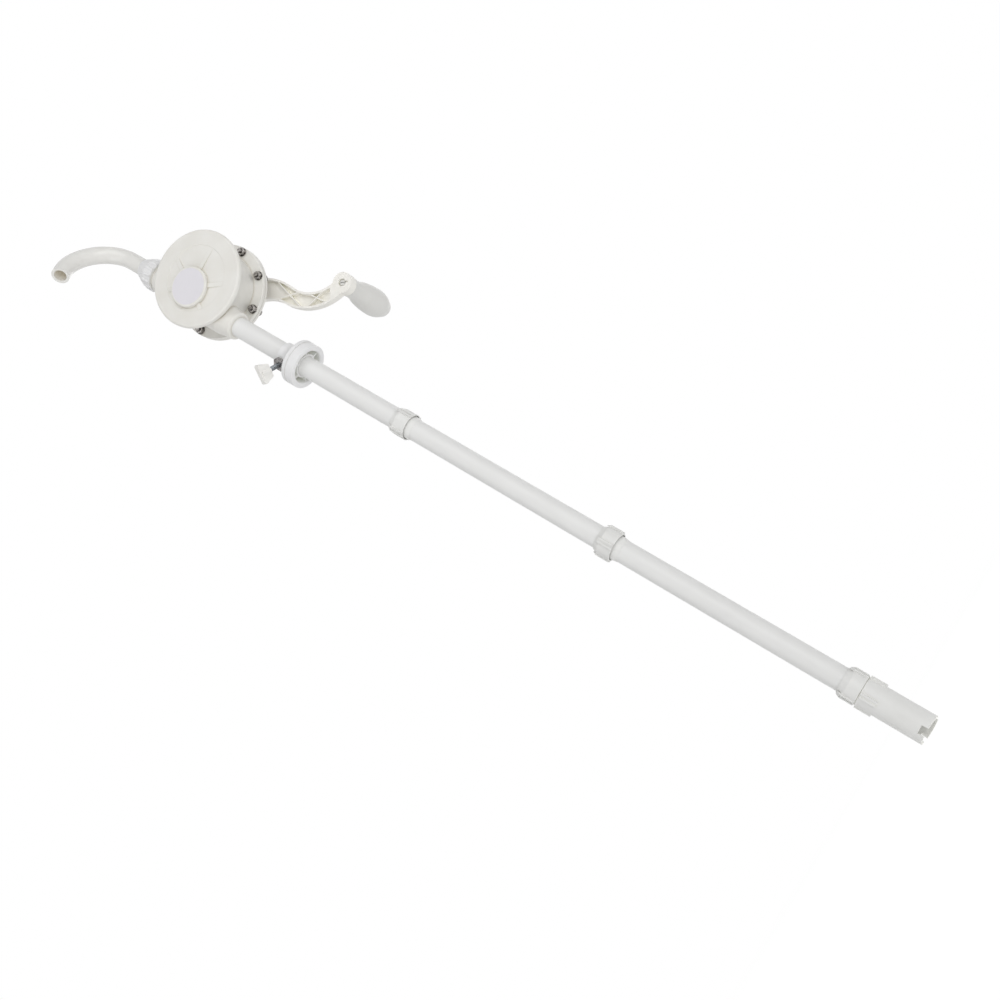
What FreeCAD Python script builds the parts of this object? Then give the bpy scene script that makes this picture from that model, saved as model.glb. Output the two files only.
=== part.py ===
import FreeCAD, Part
import math
import os
import types
import Sketcher

# Rotary hand transfer pump for drums: an eccentric vane pump head on a three-piece
# suction tube that slides through a bung adapter, with a swivelling bent spout on top
# and an S-shaped crank behind.
#
# Frame: +Z runs up along the suction tube, the origin lies on the tube's axis where the
# adapter's plug begins, the round closed face of the pump looks to -Y, the crank is on +Y.

doc = FreeCAD.newDocument("rotary_hand_pump")
sheet = doc.addObject("Spreadsheet::Sheet", "Dims")

# ---------------------------------------------------------------- driving dimensions
SIZES = {
    # clearances between pieces
    "seat_gap": 0.05,          # radial gap of a piece fixed in its seat
    "running_gap": 0.06,       # radial gap of a turning or sliding shaft
    "free_gap": 0.3,           # gap between pieces that only pass each other
    # suction tube
    "tube_od": 26.9,
    "tube_wall": 2.7,
    "section_pitch": 300,      # from one joint of the suction tube to the next
    "first_joint": 184,        # first joint below the adapter
    "tube_slide_gap": 0.2,     # radial gap of the tube in the adapter
    # couplings of the suction tube
    "socket_wall": 1.8,
    "socket_mouth": 0.6,       # extra room round the socket's mouth
    "socket_mouth_depth": 3,
    "socket_length": 23,
    "last_socket_length": 21,
    "socket_cone": 6,
    "last_socket_cone": 7,
    "thread_depth": 2.0,       # radial room between tube and socket for the threaded ends
    "thread_length": 14,
    "grip_rib_height": 1.7,
    "grip_rib_width": 6.4,
    "grip_groove": 1.8,        # width of the groove along each grip rib
    "grip_groove_depth": 0.8,
    "collar_length": 8,
    "collar_height": 1.2,
    # foot with its valve
    "foot_wall": 2.6,
    "foot_rise": 3,            # how much shorter the last section of tube is
    "foot_length": 73.6,
    "foot_rib_length": 18,
    "foot_rib_height": 2.1,
    "notch_width": 9.5,
    "notch_depth": 6.8,
    "notch_angle": 259,
    "notch_count": 3,
    "mouth_slant": 9,          # of the foot's cut end, longer at the back
    "foot_rib_count": 4,
    "foot_rib_phase": 257,
    "foot_setback": 0.8,       # the foot's wall inside the last socket's wall
    "valve_seat_drop": 22,     # from the last joint down to the valve seat
    "valve_seat_thick": 3,
    "valve_hole_r": 8,
    "ball_r": 10.5,
    "ball_lift": 6,
    "strainer_drop": 48,
    "strainer_thick": 1.6,
    "strainer_hole_r": 2.4,
    "strainer_hole_count": 6,  # round the middle hole
    # bung adapter
    "plug_r": 29.7,
    "plug_length": 11.8,
    "plug_wall": 7.4,
    "plug_lip": 2.2,           # rounding of the plug's inner lip
    "adapter_flange_r": 29.9,
    "adapter_flange_thick": 6.4,
    "seam_depth": 0.8,
    "seam_width": 1.0,
    "adapter_collar_r": 16.2,
    "adapter_collar_top": 28.6,
    "adapter_cone_top": 22,
    "adapter_floor": 2.5,
    "adapter_web": 2,
    "adapter_web_setback": 4,  # from the plug's lower end to the webs
    # clamp screw of the adapter
    "clamp_angle": 228,        # direction of the screw about +Z, from +X
    "clamp_height": 17.5,
    "clamp_screw_r": 3.4,
    "clamp_nut_side": 14.5,
    "clamp_nut_thick": 6.5,
    "clamp_nut_out": 24.4,     # outer face of the nut from the tube's axis
    "knob_out": 39.2,          # inner end of the knob from the tube's axis
    "knob_length": 16.5,
    "knob_width": 26.5,
    "knob_root_width": 18,
    "knob_thick": 7,
    "knob_turn": -55,          # how far the wing is turned about the screw
    "knob_hub_r": 5.2,
    "knob_grip": 12,           # length of screw held in the knob
    # pump head
    "head_height": 189.6,        # centre of the round casing above the origin
    "chamber_offset": 28.6,    # from the tube's axis to the casing's centre
    "rotor_offset": 14.3,      # from the casing's centre back to the shaft
    "chamber_r": 47,
    "chamber_front": 12,       # inner front wall, forward of the tube's axis
    "face_front": 29,          # front face, forward of the tube's axis
    "disc_r": 67.1,
    "disc_round": 3,
    "disc_edge": 3,
    "disc_back_round": 2.5,
    "recess_r": 45.2,
    "recess_step": 0.4,
    "waist_r": 51.7,
    "waist_length": 5.5,
    "flange_r": 66.8,
    "flange_front": 29.5,      # flange face, behind the tube's axis
    "flange_thick": 5,
    "flange_round": 1.2,
    "gasket_thick": 0.6,
    "cover_thick": 5,
    "front_boss_r": 27.8,
    "front_boss_height": 5.3,
    "front_boss_round": 1.8,
    "label_r": 25,
    "label_thick": 0.5,
    "face_rib_width": 5.6,
    "face_rib_height": 1.6,    # of a rib on the face where it meets the front boss
    "face_rib_count": 6,
    # ports
    "port_bore_r": 10.75,
    "port_end_r": 19,
    "port_root_r": 21.5,
    "port_round": 3,
    "inlet_end": 77,           # lower end of the inlet boss, below the head's centre
    "port_taper": 20,
    "outlet_offset": 4.1,      # from the suction tube's axis to the outlet's axis
    "outlet_boss_r": 20.8,
    "tube_seat": 16.5,
    "outlet_shoulder": 73.3,     # shoulder of the outlet boss, above the head's centre
    "outlet_end": 89.3,
    "outlet_thread_r": 17.2,
    # rotor, vanes and shaft
    "vane_thick": 7,
    "vane_gap": 0.15,
    "vane_inner": 2,           # inner end of a drawn-in vane from the shaft's axis
    "spring_r": 2.2,
    "spring_wire_r": 0.4,
    "spring_depth": 12,
    "spring_coils": 10,
    "rotor_disc_front": 4.7,
    "rotor_disc_rear": 10,
    "journal_r": 7,
    "journal_length": 9.8,
    "bush_wall": 3,
    "shaft_square": 10,
    "shaft_key": 11,
    "key_cover": 1.5,          # rotor left between the chamber and the key's socket
    # rear cover
    "hub_wall": 5,
    "hub_end_wall": 4.4,
    "hub_round": 2,
    "neck_r": 15,
    "neck_length": 9.5,
    "seal_thick": 3.6,
    "cover_rib_width": 3,
    # flange bolts
    "bolt_count": 8,
    "bolt_edge": 6.3,          # from the flange's edge in to the bolts
    "bolt_r": 3,
    "bolt_hole_gap": 0.3,
    "bolt_head_af": 10,
    "bolt_head_height": 4,
    "nut_height": 5,
    "bolt_end": 2.5,
    "washer_r": 6.2,
    "washer_thick": 1.2,
    # crank
    "crank_front": 61.9,       # open face of the crank, behind the tube's axis
    "crank_length": 176.8,
    "crank_angle": -53.97,     # direction of the crank at rest, from +X
    "crank_first": 92,         # from the shaft to where the S changes its side
    "crank_sagitta": 16.8,     # rise of the first bow of the S
    "crank_width": 25,
    "crank_flare": 5.2,        # gain of half the arm's width at the hub
    "crank_taper": 2.5,          # loss of half the arm's width at its outer end
    "crank_solid_end": 19,     # solid stretch of the arm beside the end boss
    "crank_depth": 11,
    "crank_wall": 3.1,
    "crank_hub_r": 17,
    "crank_hub_depth": 15,
    "crank_boss_r": 14.5,
    "crank_boss_depth": 14,
    "crank_rib_width": 1.5,
    "crank_rib_reach": 18,     # half the length of a crossed pair of ribs
    "crank_rib_pitch": 41,
    "crank_rib_last": 136.2,   # crossing of the outermost pair, from the shaft
    "screw_head_r": 7,
    "screw_head_height": 4.5,
    "screw_r": 3,
    "screw_depth": 10,
    # grip
    "grip_base_r": 14.3,
    "grip_waist_r": 13.3,
    "grip_waist_at": 16,
    "grip_shoulder_r": 16.8,
    "grip_shoulder_at": 36,
    "grip_max_r": 19.9,
    "grip_max_at": 75,
    "grip_end_r": 14.5,
    "grip_end_at": 100,
    "grip_length": 113,
    "grip_pin_r": 4,
    "grip_snap_r": 4.9,
    "grip_snap_seat_r": 5.4,
    "grip_snap_seat": 3,
    "grip_snap_height": 2.2,
    "grip_slit": 1.2,
    # spout and union nut
    "spout_od": 23.8,
    "spout_wall": 3.6,
    "spout_rise": 134.4,       # start of the bend above the head's centre
    "spout_bend_r": 52.9,
    "spout_bend": 125,
    "spout_tip": 10,
    "spout_angle": 226.8,      # direction of the spout about +Z, from +X
    "spout_bead_r": 16.4,
    "spout_bead_thick": 3.5,
    "spout_seal_thick": 1.6,
    "nut_start": 77.8,         # lower face of the union nut, above the head's centre
    "nut_body_r": 20.9,
    "nut_top_r": 14.2,
    "nut_straight": 12,
    "nut_length": 31.8,
    "nut_rib_count": 14,
    "nut_rib_r": 2.4,
    "nut_rib_height": 1.4,
}

for row, (alias, value) in enumerate(SIZES.items(), start=1):
    sheet.set(f"A{row}", alias)
    sheet.set(f"B{row}", str(value))
    sheet.setAlias(f"B{row}", alias)
doc.recompute()


class Size:
    """A length or angle worked out from the sheet: its value and the expression for it."""

    def __init__(self, text, value):
        self.text = text
        self.value = float(value)

    def join(self, other, sign, value, turned=False):
        left, right = self.text, as_size(other).text
        if turned:
            left, right = right, left
        return Size(f"({left} {sign} {right})", value)

    def __add__(self, other):
        return self.join(other, "+", self.value + as_size(other).value)

    def __radd__(self, other):
        return as_size(other) + self

    def __sub__(self, other):
        return self.join(other, "-", self.value - as_size(other).value)

    def __rsub__(self, other):
        return as_size(other) - self

    def __mul__(self, other):
        return self.join(other, "*", self.value * as_size(other).value)

    def __rmul__(self, other):
        return as_size(other) * self

    def __truediv__(self, other):
        return self.join(other, "/", self.value / as_size(other).value)

    def __neg__(self):
        return Size(f"(0 - {self.text})", -self.value)


def as_size(number):
    return number if isinstance(number, Size) else Size(repr(float(number)), number)


def root(size):
    return Size(f"sqrt({size.text})", math.sqrt(size.value))


def cos_of(angle):
    return Size(f"cos({angle.text} * 1 deg)", math.cos(math.radians(angle.value)))


def sin_of(angle):
    return Size(f"sin({angle.text} * 1 deg)", math.sin(math.radians(angle.value)))


d = types.SimpleNamespace(**{name: Size(f"Dims.{name}", sheet.get(name)) for name in SIZES})


# ---------------------------------------------------------------- modelling helpers
def bind(thing, prop, size):
    size = as_size(size)
    thing.setExpression(prop, size.text)


def place(thing, at=(0, 0, 0), turn=None):
    """Put a thing at a place given in sizes, turned by a fixed or a sized rotation."""
    position = [as_size(value) for value in at]
    rotation = FreeCAD.Rotation(*turn) if turn else FreeCAD.Rotation()
    thing.Placement = FreeCAD.Placement(FreeCAD.Vector(*[p.value for p in position]), rotation)
    for letter, value in zip("xyz", position):
        bind(thing, f"Placement.Base.{letter}", value)
    return thing


X_AXIS = FreeCAD.Vector(1, 0, 0)
Y_AXIS = FreeCAD.Vector(0, 1, 0)
Z_AXIS = FreeCAD.Vector(0, 0, 1)
ALONG = {"Z": None, "Y": (X_AXIS, -90), "X": (Y_AXIS, 90)}


def cylinder(radius, height, at=(0, 0, 0), along="Z"):
    thing = doc.addObject("Part::Cylinder", "cylinder")
    bind(thing, "Radius", radius)
    bind(thing, "Height", height)
    return place(thing, at, ALONG[along])


def cone(radius_1, radius_2, height, at=(0, 0, 0), along="Z"):
    thing = doc.addObject("Part::Cone", "cone")
    bind(thing, "Radius1", radius_1)
    bind(thing, "Radius2", radius_2)
    bind(thing, "Height", height)
    return place(thing, at, ALONG[along])


def box(length, width, height, at=(0, 0, 0), turn=None):
    thing = doc.addObject("Part::Box", "box")
    bind(thing, "Length", length)
    bind(thing, "Width", width)
    bind(thing, "Height", height)
    return place(thing, at, turn)


def fuse(*things):
    thing = doc.addObject("Part::MultiFuse", "fuse")
    thing.Shapes = list(things)
    return thing


def cut(base, *tools):
    thing = doc.addObject("Part::Cut", "cut")
    thing.Base = base
    thing.Tool = tools[0] if len(tools) == 1 else fuse(*tools)
    return thing


def common(*things):
    thing = doc.addObject("Part::MultiCommon", "common")
    thing.Shapes = list(things)
    return thing


def group(things):
    thing = doc.addObject("Part::Compound", "group")
    thing.Links = list(things)
    return thing


def moved(thing, at=(0, 0, 0), turn=None):
    """Carry a finished thing, such as a body, to its place as one link of a compound."""
    return place(group([thing]), at, turn)


def sketch_outline(body, plane, outline):
    """Draw a closed outline on an origin plane of the body.

    Each entry is (x, y) or (x, y, radius): the side that ends at this point is then an arc
    of that radius, bulging to its right hand for a plus sign and to its left for a minus.
    Every point and every radius is bound to the sheet.
    """
    sketch = body.newObject("Sketcher::SketchObject", "outline")
    origin_plane = next(f for f in body.Origin.OriginFeatures if f.Role == plane)
    sketch.AttachmentSupport = [(origin_plane, "")]
    sketch.MapMode = "FlatFace"
    ends = []
    for index, point in enumerate(outline):
        start = [as_size(v) for v in outline[index - 1][:2]]
        end = [as_size(v) for v in point[:2]]
        p = FreeCAD.Vector(start[0].value, start[1].value, 0)
        q = FreeCAD.Vector(end[0].value, end[1].value, 0)
        if len(point) == 2:
            geo = sketch.addGeometry(Part.LineSegment(p, q), False)
            ends.append((geo, 1, 2, end))
            continue
        radius = as_size(point[2])
        chord = q.sub(p)
        reach = math.sqrt(max(radius.value ** 2 - chord.Length ** 2 / 4, 0.0))
        left = FreeCAD.Vector(-chord.y, chord.x, 0).normalize()
        side = 1 if radius.value > 0 else -1
        centre = p.add(q).multiply(0.5).add(left.multiply(side * reach))
        first, last = (p, q) if side > 0 else (q, p)
        angles = [math.atan2(v.y - centre.y, v.x - centre.x) for v in (first, last)]
        circle = Part.Circle(centre, Z_AXIS, abs(radius.value))
        geo = sketch.addGeometry(Part.ArcOfCircle(circle, *angles), False)
        ends.append((geo, 1, 2, end) if side > 0 else (geo, 2, 1, end))
        fixed = sketch.addConstraint(Sketcher.Constraint("Radius", geo, abs(radius.value)))
        sign = "" if side > 0 else "0 - "
        sketch.setExpression(f"Constraints[{fixed}]", f"{sign}{radius.text}")
    for index, (geo, first, last, end) in enumerate(ends):
        following = ends[(index + 1) % len(ends)]
        sketch.addConstraint(Sketcher.Constraint("Coincident", geo, last, following[0], following[1]))
        for kind, value, axis in (("DistanceX", end[0], -2), ("DistanceY", end[1], -1)):
            if value.text == "0.0":
                sketch.addConstraint(Sketcher.Constraint("PointOnObject", geo, last, axis))
                continue
            fixed = sketch.addConstraint(Sketcher.Constraint(kind, -1, 1, geo, last, value.value))
            sketch.setExpression(f"Constraints[{fixed}]", value.text)
    return sketch


def revolved(outline, at=(0, 0, 0), along="Z"):
    """A body turned about its own Z or Y axis from an outline of (radius, height) points."""
    body = doc.addObject("PartDesign::Body", "turned")
    sketch = sketch_outline(body, "XZ_Plane" if along == "Z" else "XY_Plane", outline)
    turned = body.newObject("PartDesign::Revolution", "revolution")
    turned.Profile = sketch
    turned.ReferenceAxis = (sketch, ["V_Axis"])
    turned.Angle = 360
    body.Tip = turned
    return place(body, at)


def padded(outline, thickness, at=(0, 0, 0)):
    """A plate in the XZ plane of its own frame, with its thickness along +Y."""
    body = doc.addObject("PartDesign::Body", "plate")
    sketch = sketch_outline(body, "XZ_Plane", outline)
    pad = body.newObject("PartDesign::Pad", "pad")
    pad.Profile = sketch
    bind(pad, "Length", thickness)
    pad.Reversed = True
    body.Tip = pad
    return place(body, at)


def ring(inner, outer, height, at=(0, 0, 0), along="Z"):
    return revolved([(inner, 0), (outer, 0), (outer, height), (inner, height)], at, along)


def around(things_at, count):
    """Make one thing for each step round a circle: things_at(angle in degrees)."""
    return [things_at(360.0 * index / int(count.value)) for index in range(int(count.value))]


NODES = []


def node(name, thing):
    thing.Label = name
    NODES.append(thing)
    return thing


# ---------------------------------------------------------------- places shared by pieces
TUBE_R = d.tube_od / 2
BORE_R = TUBE_R - d.tube_wall
HEAD_Z = d.head_height
OUTLET_X = d.outlet_offset
CASING_X = d.chamber_offset
SHAFT_X = d.chamber_offset - d.rotor_offset
FLANGE_BACK = d.flange_front + d.flange_thick
COVER_FRONT = FLANGE_BACK + d.gasket_thick
COVER_BACK = COVER_FRONT + d.cover_thick
ROTOR_R = d.chamber_r - d.rotor_offset - 2 * d.free_gap
JOINTS = [
    -d.first_joint,
    -(d.first_joint + d.section_pitch),
    -(d.first_joint + 2 * d.section_pitch - d.foot_rise),
]
THREAD_R = TUBE_R + d.thread_depth
SOCKET_R = THREAD_R + d.running_gap + d.socket_wall


# ---------------------------------------------------------------- bung adapter and clamp
def bung_adapter():
    """Collar, cone, flange and hollow plug, with webs inside and a pocket for the nut."""
    shoulder = d.adapter_flange_thick
    shell = revolved([
        (0, d.adapter_collar_top),
        (d.adapter_collar_r - 1, d.adapter_collar_top),
        (d.adapter_collar_r, d.adapter_collar_top - 1, -1),
        (d.adapter_collar_r, d.adapter_cone_top),
        (d.adapter_flange_r - 3, shoulder + 1.5, 22),
        (d.adapter_flange_r - 1.5, shoulder + 0.5),
        (d.adapter_flange_r, shoulder - 1, -1.6),
        (d.adapter_flange_r, d.seam_width),
        (d.adapter_flange_r - d.seam_depth, d.seam_width),
        (d.adapter_flange_r - d.seam_depth, 0),
        (d.plug_r, 0),
        (d.plug_r, 0.8 - d.plug_length),
        (d.plug_r - 0.8, -d.plug_length, -0.8),
        (d.plug_r - d.plug_wall + d.plug_lip, -d.plug_length),
        (d.plug_r - d.plug_wall, d.plug_lip - d.plug_length, -d.plug_lip),
        (d.plug_r - d.plug_wall, d.adapter_floor),
        (0, d.adapter_floor),
    ])
    web_start = d.adapter_web_setback - d.plug_length
    depth = d.adapter_floor - web_start
    half = d.plug_r - d.plug_wall + 0.5
    webs = []
    for step in range(3):
        web = box(2 * half, d.adapter_web, depth + 1, (-half, -d.adapter_web / 2, web_start))
        webs.append(moved(web, turn=(Z_AXIS, 180.0 * step / 3 + 20)))
    sleeve = cylinder(d.adapter_collar_r, depth + 1, (0, 0, web_start))
    bore_r = TUBE_R + d.tube_slide_gap
    bore = cylinder(bore_r, d.adapter_collar_top + d.plug_length + 2, (0, 0, -d.plug_length - 1))
    pocket_width = d.clamp_nut_side + 2 * d.seat_gap
    seat = d.clamp_nut_out - d.clamp_nut_thick
    pocket = box(d.plug_r, pocket_width, pocket_width + 1,
                 (seat, -pocket_width / 2, d.clamp_height - pocket_width / 2))
    hole_r = d.clamp_screw_r + d.free_gap
    hole = cylinder(hole_r, d.plug_r, (0, 0, d.clamp_height), "X")
    clamp_cuts = turned_about_tube(fuse(pocket, hole), d.clamp_angle)
    return cut(fuse(shell, sleeve, *webs), bore, clamp_cuts)


def turned_about_tube(thing, angle):
    """Turn a thing about the tube's axis by an angle of the sheet."""
    holder = group([thing])
    holder.Placement = FreeCAD.Placement(FreeCAD.Vector(), FreeCAD.Rotation(Z_AXIS, angle.value))
    bind(holder, "Placement.Rotation.Angle", angle)
    return holder


def clamp_nut():
    side = d.clamp_nut_side
    seat = d.clamp_nut_out - d.clamp_nut_thick
    block = box(d.clamp_nut_thick - d.seat_gap, side, side)
    place(block, (seat + d.seat_gap, -side / 2, d.clamp_height - side / 2))
    hole_r = d.clamp_screw_r + d.running_gap
    hole = cylinder(hole_r, d.plug_r, (seat - 1, 0, d.clamp_height), "X")
    face = cylinder(side * 0.62, d.clamp_nut_thick + 2, (seat - 1, 0, d.clamp_height), "X")
    return turned_about_tube(cut(common(block, face), hole), d.clamp_angle)


def clamp_screw():
    start = TUBE_R + d.seat_gap
    length = d.knob_out + d.knob_grip - start
    tip = cone(d.clamp_screw_r - 0.8, d.clamp_screw_r, 1.2, (start, 0, d.clamp_height), "X")
    shank = cylinder(d.clamp_screw_r, length - 1.2, (start + 1.2, 0, d.clamp_height), "X")
    return turned_about_tube(fuse(tip, shank), d.clamp_angle)


def clamp_knob():
    """A flat wing with rounded corners on a round hub, lying across the screw."""
    half = d.knob_width / 2
    low = d.knob_root_width / 2
    wing = padded([
        (0, 1.5 - low),
        (1.5, -low, 1.5),
        (d.knob_length - 3, -half),
        (d.knob_length, 3 - half, 3),
        (d.knob_length, half - 3),
        (d.knob_length - 3, half, 3),
        (1.5, low),
        (0, low - 1.5, 1.5),
    ], d.knob_thick, (0, -d.knob_thick / 2, 0))
    hub = cylinder(d.knob_hub_r, d.knob_grip + 2, (0, 0, 0), "X")
    hole = cylinder(d.clamp_screw_r + d.seat_gap, d.knob_grip + d.seat_gap + 1, (-1, 0, 0), "X")
    knob = moved(cut(fuse(wing, hub), hole), turn=(X_AXIS, d.knob_turn.value))
    bind(knob, "Placement.Rotation.Angle", d.knob_turn)
    carried = moved(knob, (d.knob_out, 0, d.clamp_height))
    return turned_about_tube(carried, d.clamp_angle)


# ---------------------------------------------------------------- suction tube
def tube(top, bottom):
    return ring(BORE_R, TUBE_R, top - bottom, (0, 0, bottom))


def grip_ribs(inner, outer, length, at_z, turns):
    """Lengthwise ribs round a socket, one at each turn, each with a groove along its middle."""
    ribs = []
    ridge = (d.grip_rib_width - d.grip_groove) / 2
    for angle in turns:
        turn = (Z_AXIS, angle)
        low = box(outer - inner - d.grip_groove_depth, d.grip_rib_width, length,
                  (inner, -d.grip_rib_width / 2, at_z))
        left = box(outer - inner, ridge, length, (inner, -d.grip_rib_width / 2, at_z))
        right = box(outer - inner, ridge, length, (inner, d.grip_groove / 2, at_z))
        ribs.append(moved(fuse(low, left, right), turn=turn))
    return ribs


def coupling_socket(joint, top, cone_length, turns):
    """Threaded sleeve fixed to the lower end of a tube, with grip ribs outside."""
    thread_r = THREAD_R + d.running_gap
    thread_top = d.thread_length + d.free_gap
    shell = revolved([
        (TUBE_R + d.seat_gap, top),
        (TUBE_R + 1, top),
        (SOCKET_R, top - cone_length),
        (SOCKET_R, 0.4),
        (SOCKET_R - 0.4, 0, -0.4),
        (thread_r + d.socket_mouth, 0),
        (thread_r + d.socket_mouth, d.socket_mouth_depth),
        (thread_r, d.socket_mouth_depth),
        (thread_r, thread_top),
        (TUBE_R + d.seat_gap, thread_top),
    ], (0, 0, joint))
    outer = SOCKET_R + d.grip_rib_height
    inner = SOCKET_R - d.socket_wall / 3
    length = top - 1.2
    ribs = fuse(*grip_ribs(inner, outer, length, joint + 0.6, turns))
    taper = revolved([
        (TUBE_R, 0),
        (outer + 1, 0),
        (outer + 1, top - cone_length),
        (TUBE_R + 1 + d.grip_rib_height, top),
        (TUBE_R, top),
    ], (0, 0, joint))
    return fuse(shell, common(ribs, taper))


def coupling_collar(joint):
    """Threaded end fixed to the top of the next tube, with a short collar below the joint."""
    neck_r = TUBE_R + d.collar_height
    thread_start = d.socket_mouth_depth - 1
    return revolved([
        (TUBE_R + d.seat_gap, d.thread_length),
        (THREAD_R - 0.8, d.thread_length),
        (THREAD_R, d.thread_length - 0.8),
        (THREAD_R, thread_start),
        (neck_r, thread_start),
        (neck_r, 5 - d.collar_length),
        (TUBE_R + 0.2, -d.collar_length),
        (TUBE_R + d.seat_gap, -d.collar_length),
    ], (0, 0, joint))


FOOT_R = SOCKET_R - d.foot_setback
FOOT_BORE_R = FOOT_R - d.foot_wall
BALL_REST = root(d.ball_r * d.ball_r - d.valve_hole_r * d.valve_hole_r)


def foot_housing():
    """Foot screwed into the last socket: valve seat, strainer step and a notched mouth."""
    joint = JOINTS[2]
    seat = -d.valve_seat_drop
    ledge = FOOT_BORE_R - 1.2
    strainer = -d.strainer_drop
    throat = d.ball_r - 1.5
    shell = revolved([
        (throat, d.thread_length),
        (THREAD_R - 0.8, d.thread_length),
        (THREAD_R, d.thread_length - 0.8),
        (THREAD_R, d.socket_mouth_depth - 1),
        (THREAD_R - 0.8, d.socket_mouth_depth - 1),
        (THREAD_R - 0.8, -d.free_gap),
        (FOOT_R - 0.8, -d.free_gap),
        (FOOT_R, -d.free_gap - 0.8, -0.8),
        (FOOT_R, -d.foot_length - 4),
        (FOOT_BORE_R, -d.foot_length - 4),
        (FOOT_BORE_R, strainer),
        (ledge, strainer),
        (ledge, seat - d.valve_seat_thick),
        (d.valve_hole_r, seat - d.valve_seat_thick),
        (d.valve_hole_r, seat),
        (d.ball_r + 2, seat),
        (d.ball_r + 2, seat + BALL_REST + d.ball_r + d.ball_lift + d.free_gap),
        (throat, seat + BALL_REST + d.ball_r + d.ball_lift + d.free_gap),
    ], (0, 0, joint))
    below = cylinder(FOOT_R + 1, 2 * FOOT_R, (0, 0, -2 * FOOT_R))
    notches = turned_about_tube(fuse(*around(foot_notch, d.notch_count)), d.notch_angle)
    mouth = moved(fuse(below, notches), (0, 0, joint - d.foot_length),
                  (-X_AXIS, d.mouth_slant.value))
    bind(mouth, "Placement.Rotation.Angle", d.mouth_slant)
    rib_start = joint - d.foot_rib_length - 1.2
    turns = around(lambda angle: angle, d.foot_rib_count)
    outer = FOOT_R + d.foot_rib_height
    ribs = fuse(*grip_ribs(FOOT_R - 0.6, outer, d.foot_rib_length, rib_start, turns))
    return cut(fuse(shell, turned_about_tube(ribs, d.foot_rib_phase)), mouth)


def foot_notch(angle):
    """Cutter of one notch, from the mouth's plane upwards."""
    slot = box(FOOT_R + 3, d.notch_width, d.notch_depth + 1, (0, -d.notch_width / 2, -1))
    return moved(slot, turn=(Z_AXIS, angle))


def foot_valve_ball():
    ball = doc.addObject("Part::Sphere", "ball")
    bind(ball, "Radius", d.ball_r)
    return place(ball, (0, 0, JOINTS[2] - d.valve_seat_drop + BALL_REST + d.seat_gap))


def foot_strainer():
    """Round perforated plate pushed up against its step in the foot."""
    top = JOINTS[2] - d.strainer_drop - d.seat_gap
    plate = cylinder(FOOT_BORE_R - d.seat_gap, d.strainer_thick, (0, 0, top - d.strainer_thick))
    reach = d.strainer_hole_r * 3

    def hole(angle):
        sized = as_size(angle)
        at = (reach * cos_of(sized), reach * sin_of(sized), top - d.strainer_thick - 1)
        return cylinder(d.strainer_hole_r, d.strainer_thick + 2, at)

    middle = cylinder(d.strainer_hole_r, d.strainer_thick + 2, (0, 0, top - d.strainer_thick - 1))
    return cut(plate, middle, *around(hole, d.strainer_hole_count))


# ---------------------------------------------------------------- pump casing and cover
BOLT_CIRCLE_R = d.flange_r - d.bolt_edge


def bolt_place(angle, y):
    sized = as_size(angle)
    return (CASING_X + BOLT_CIRCLE_R * cos_of(sized), y, HEAD_Z + BOLT_CIRCLE_R * sin_of(sized))


def bolt_holes(y, depth):
    radius = d.bolt_r + d.bolt_hole_gap
    return around(lambda angle: cylinder(radius, depth, bolt_place(angle, y), "Y"), d.bolt_count)


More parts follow.
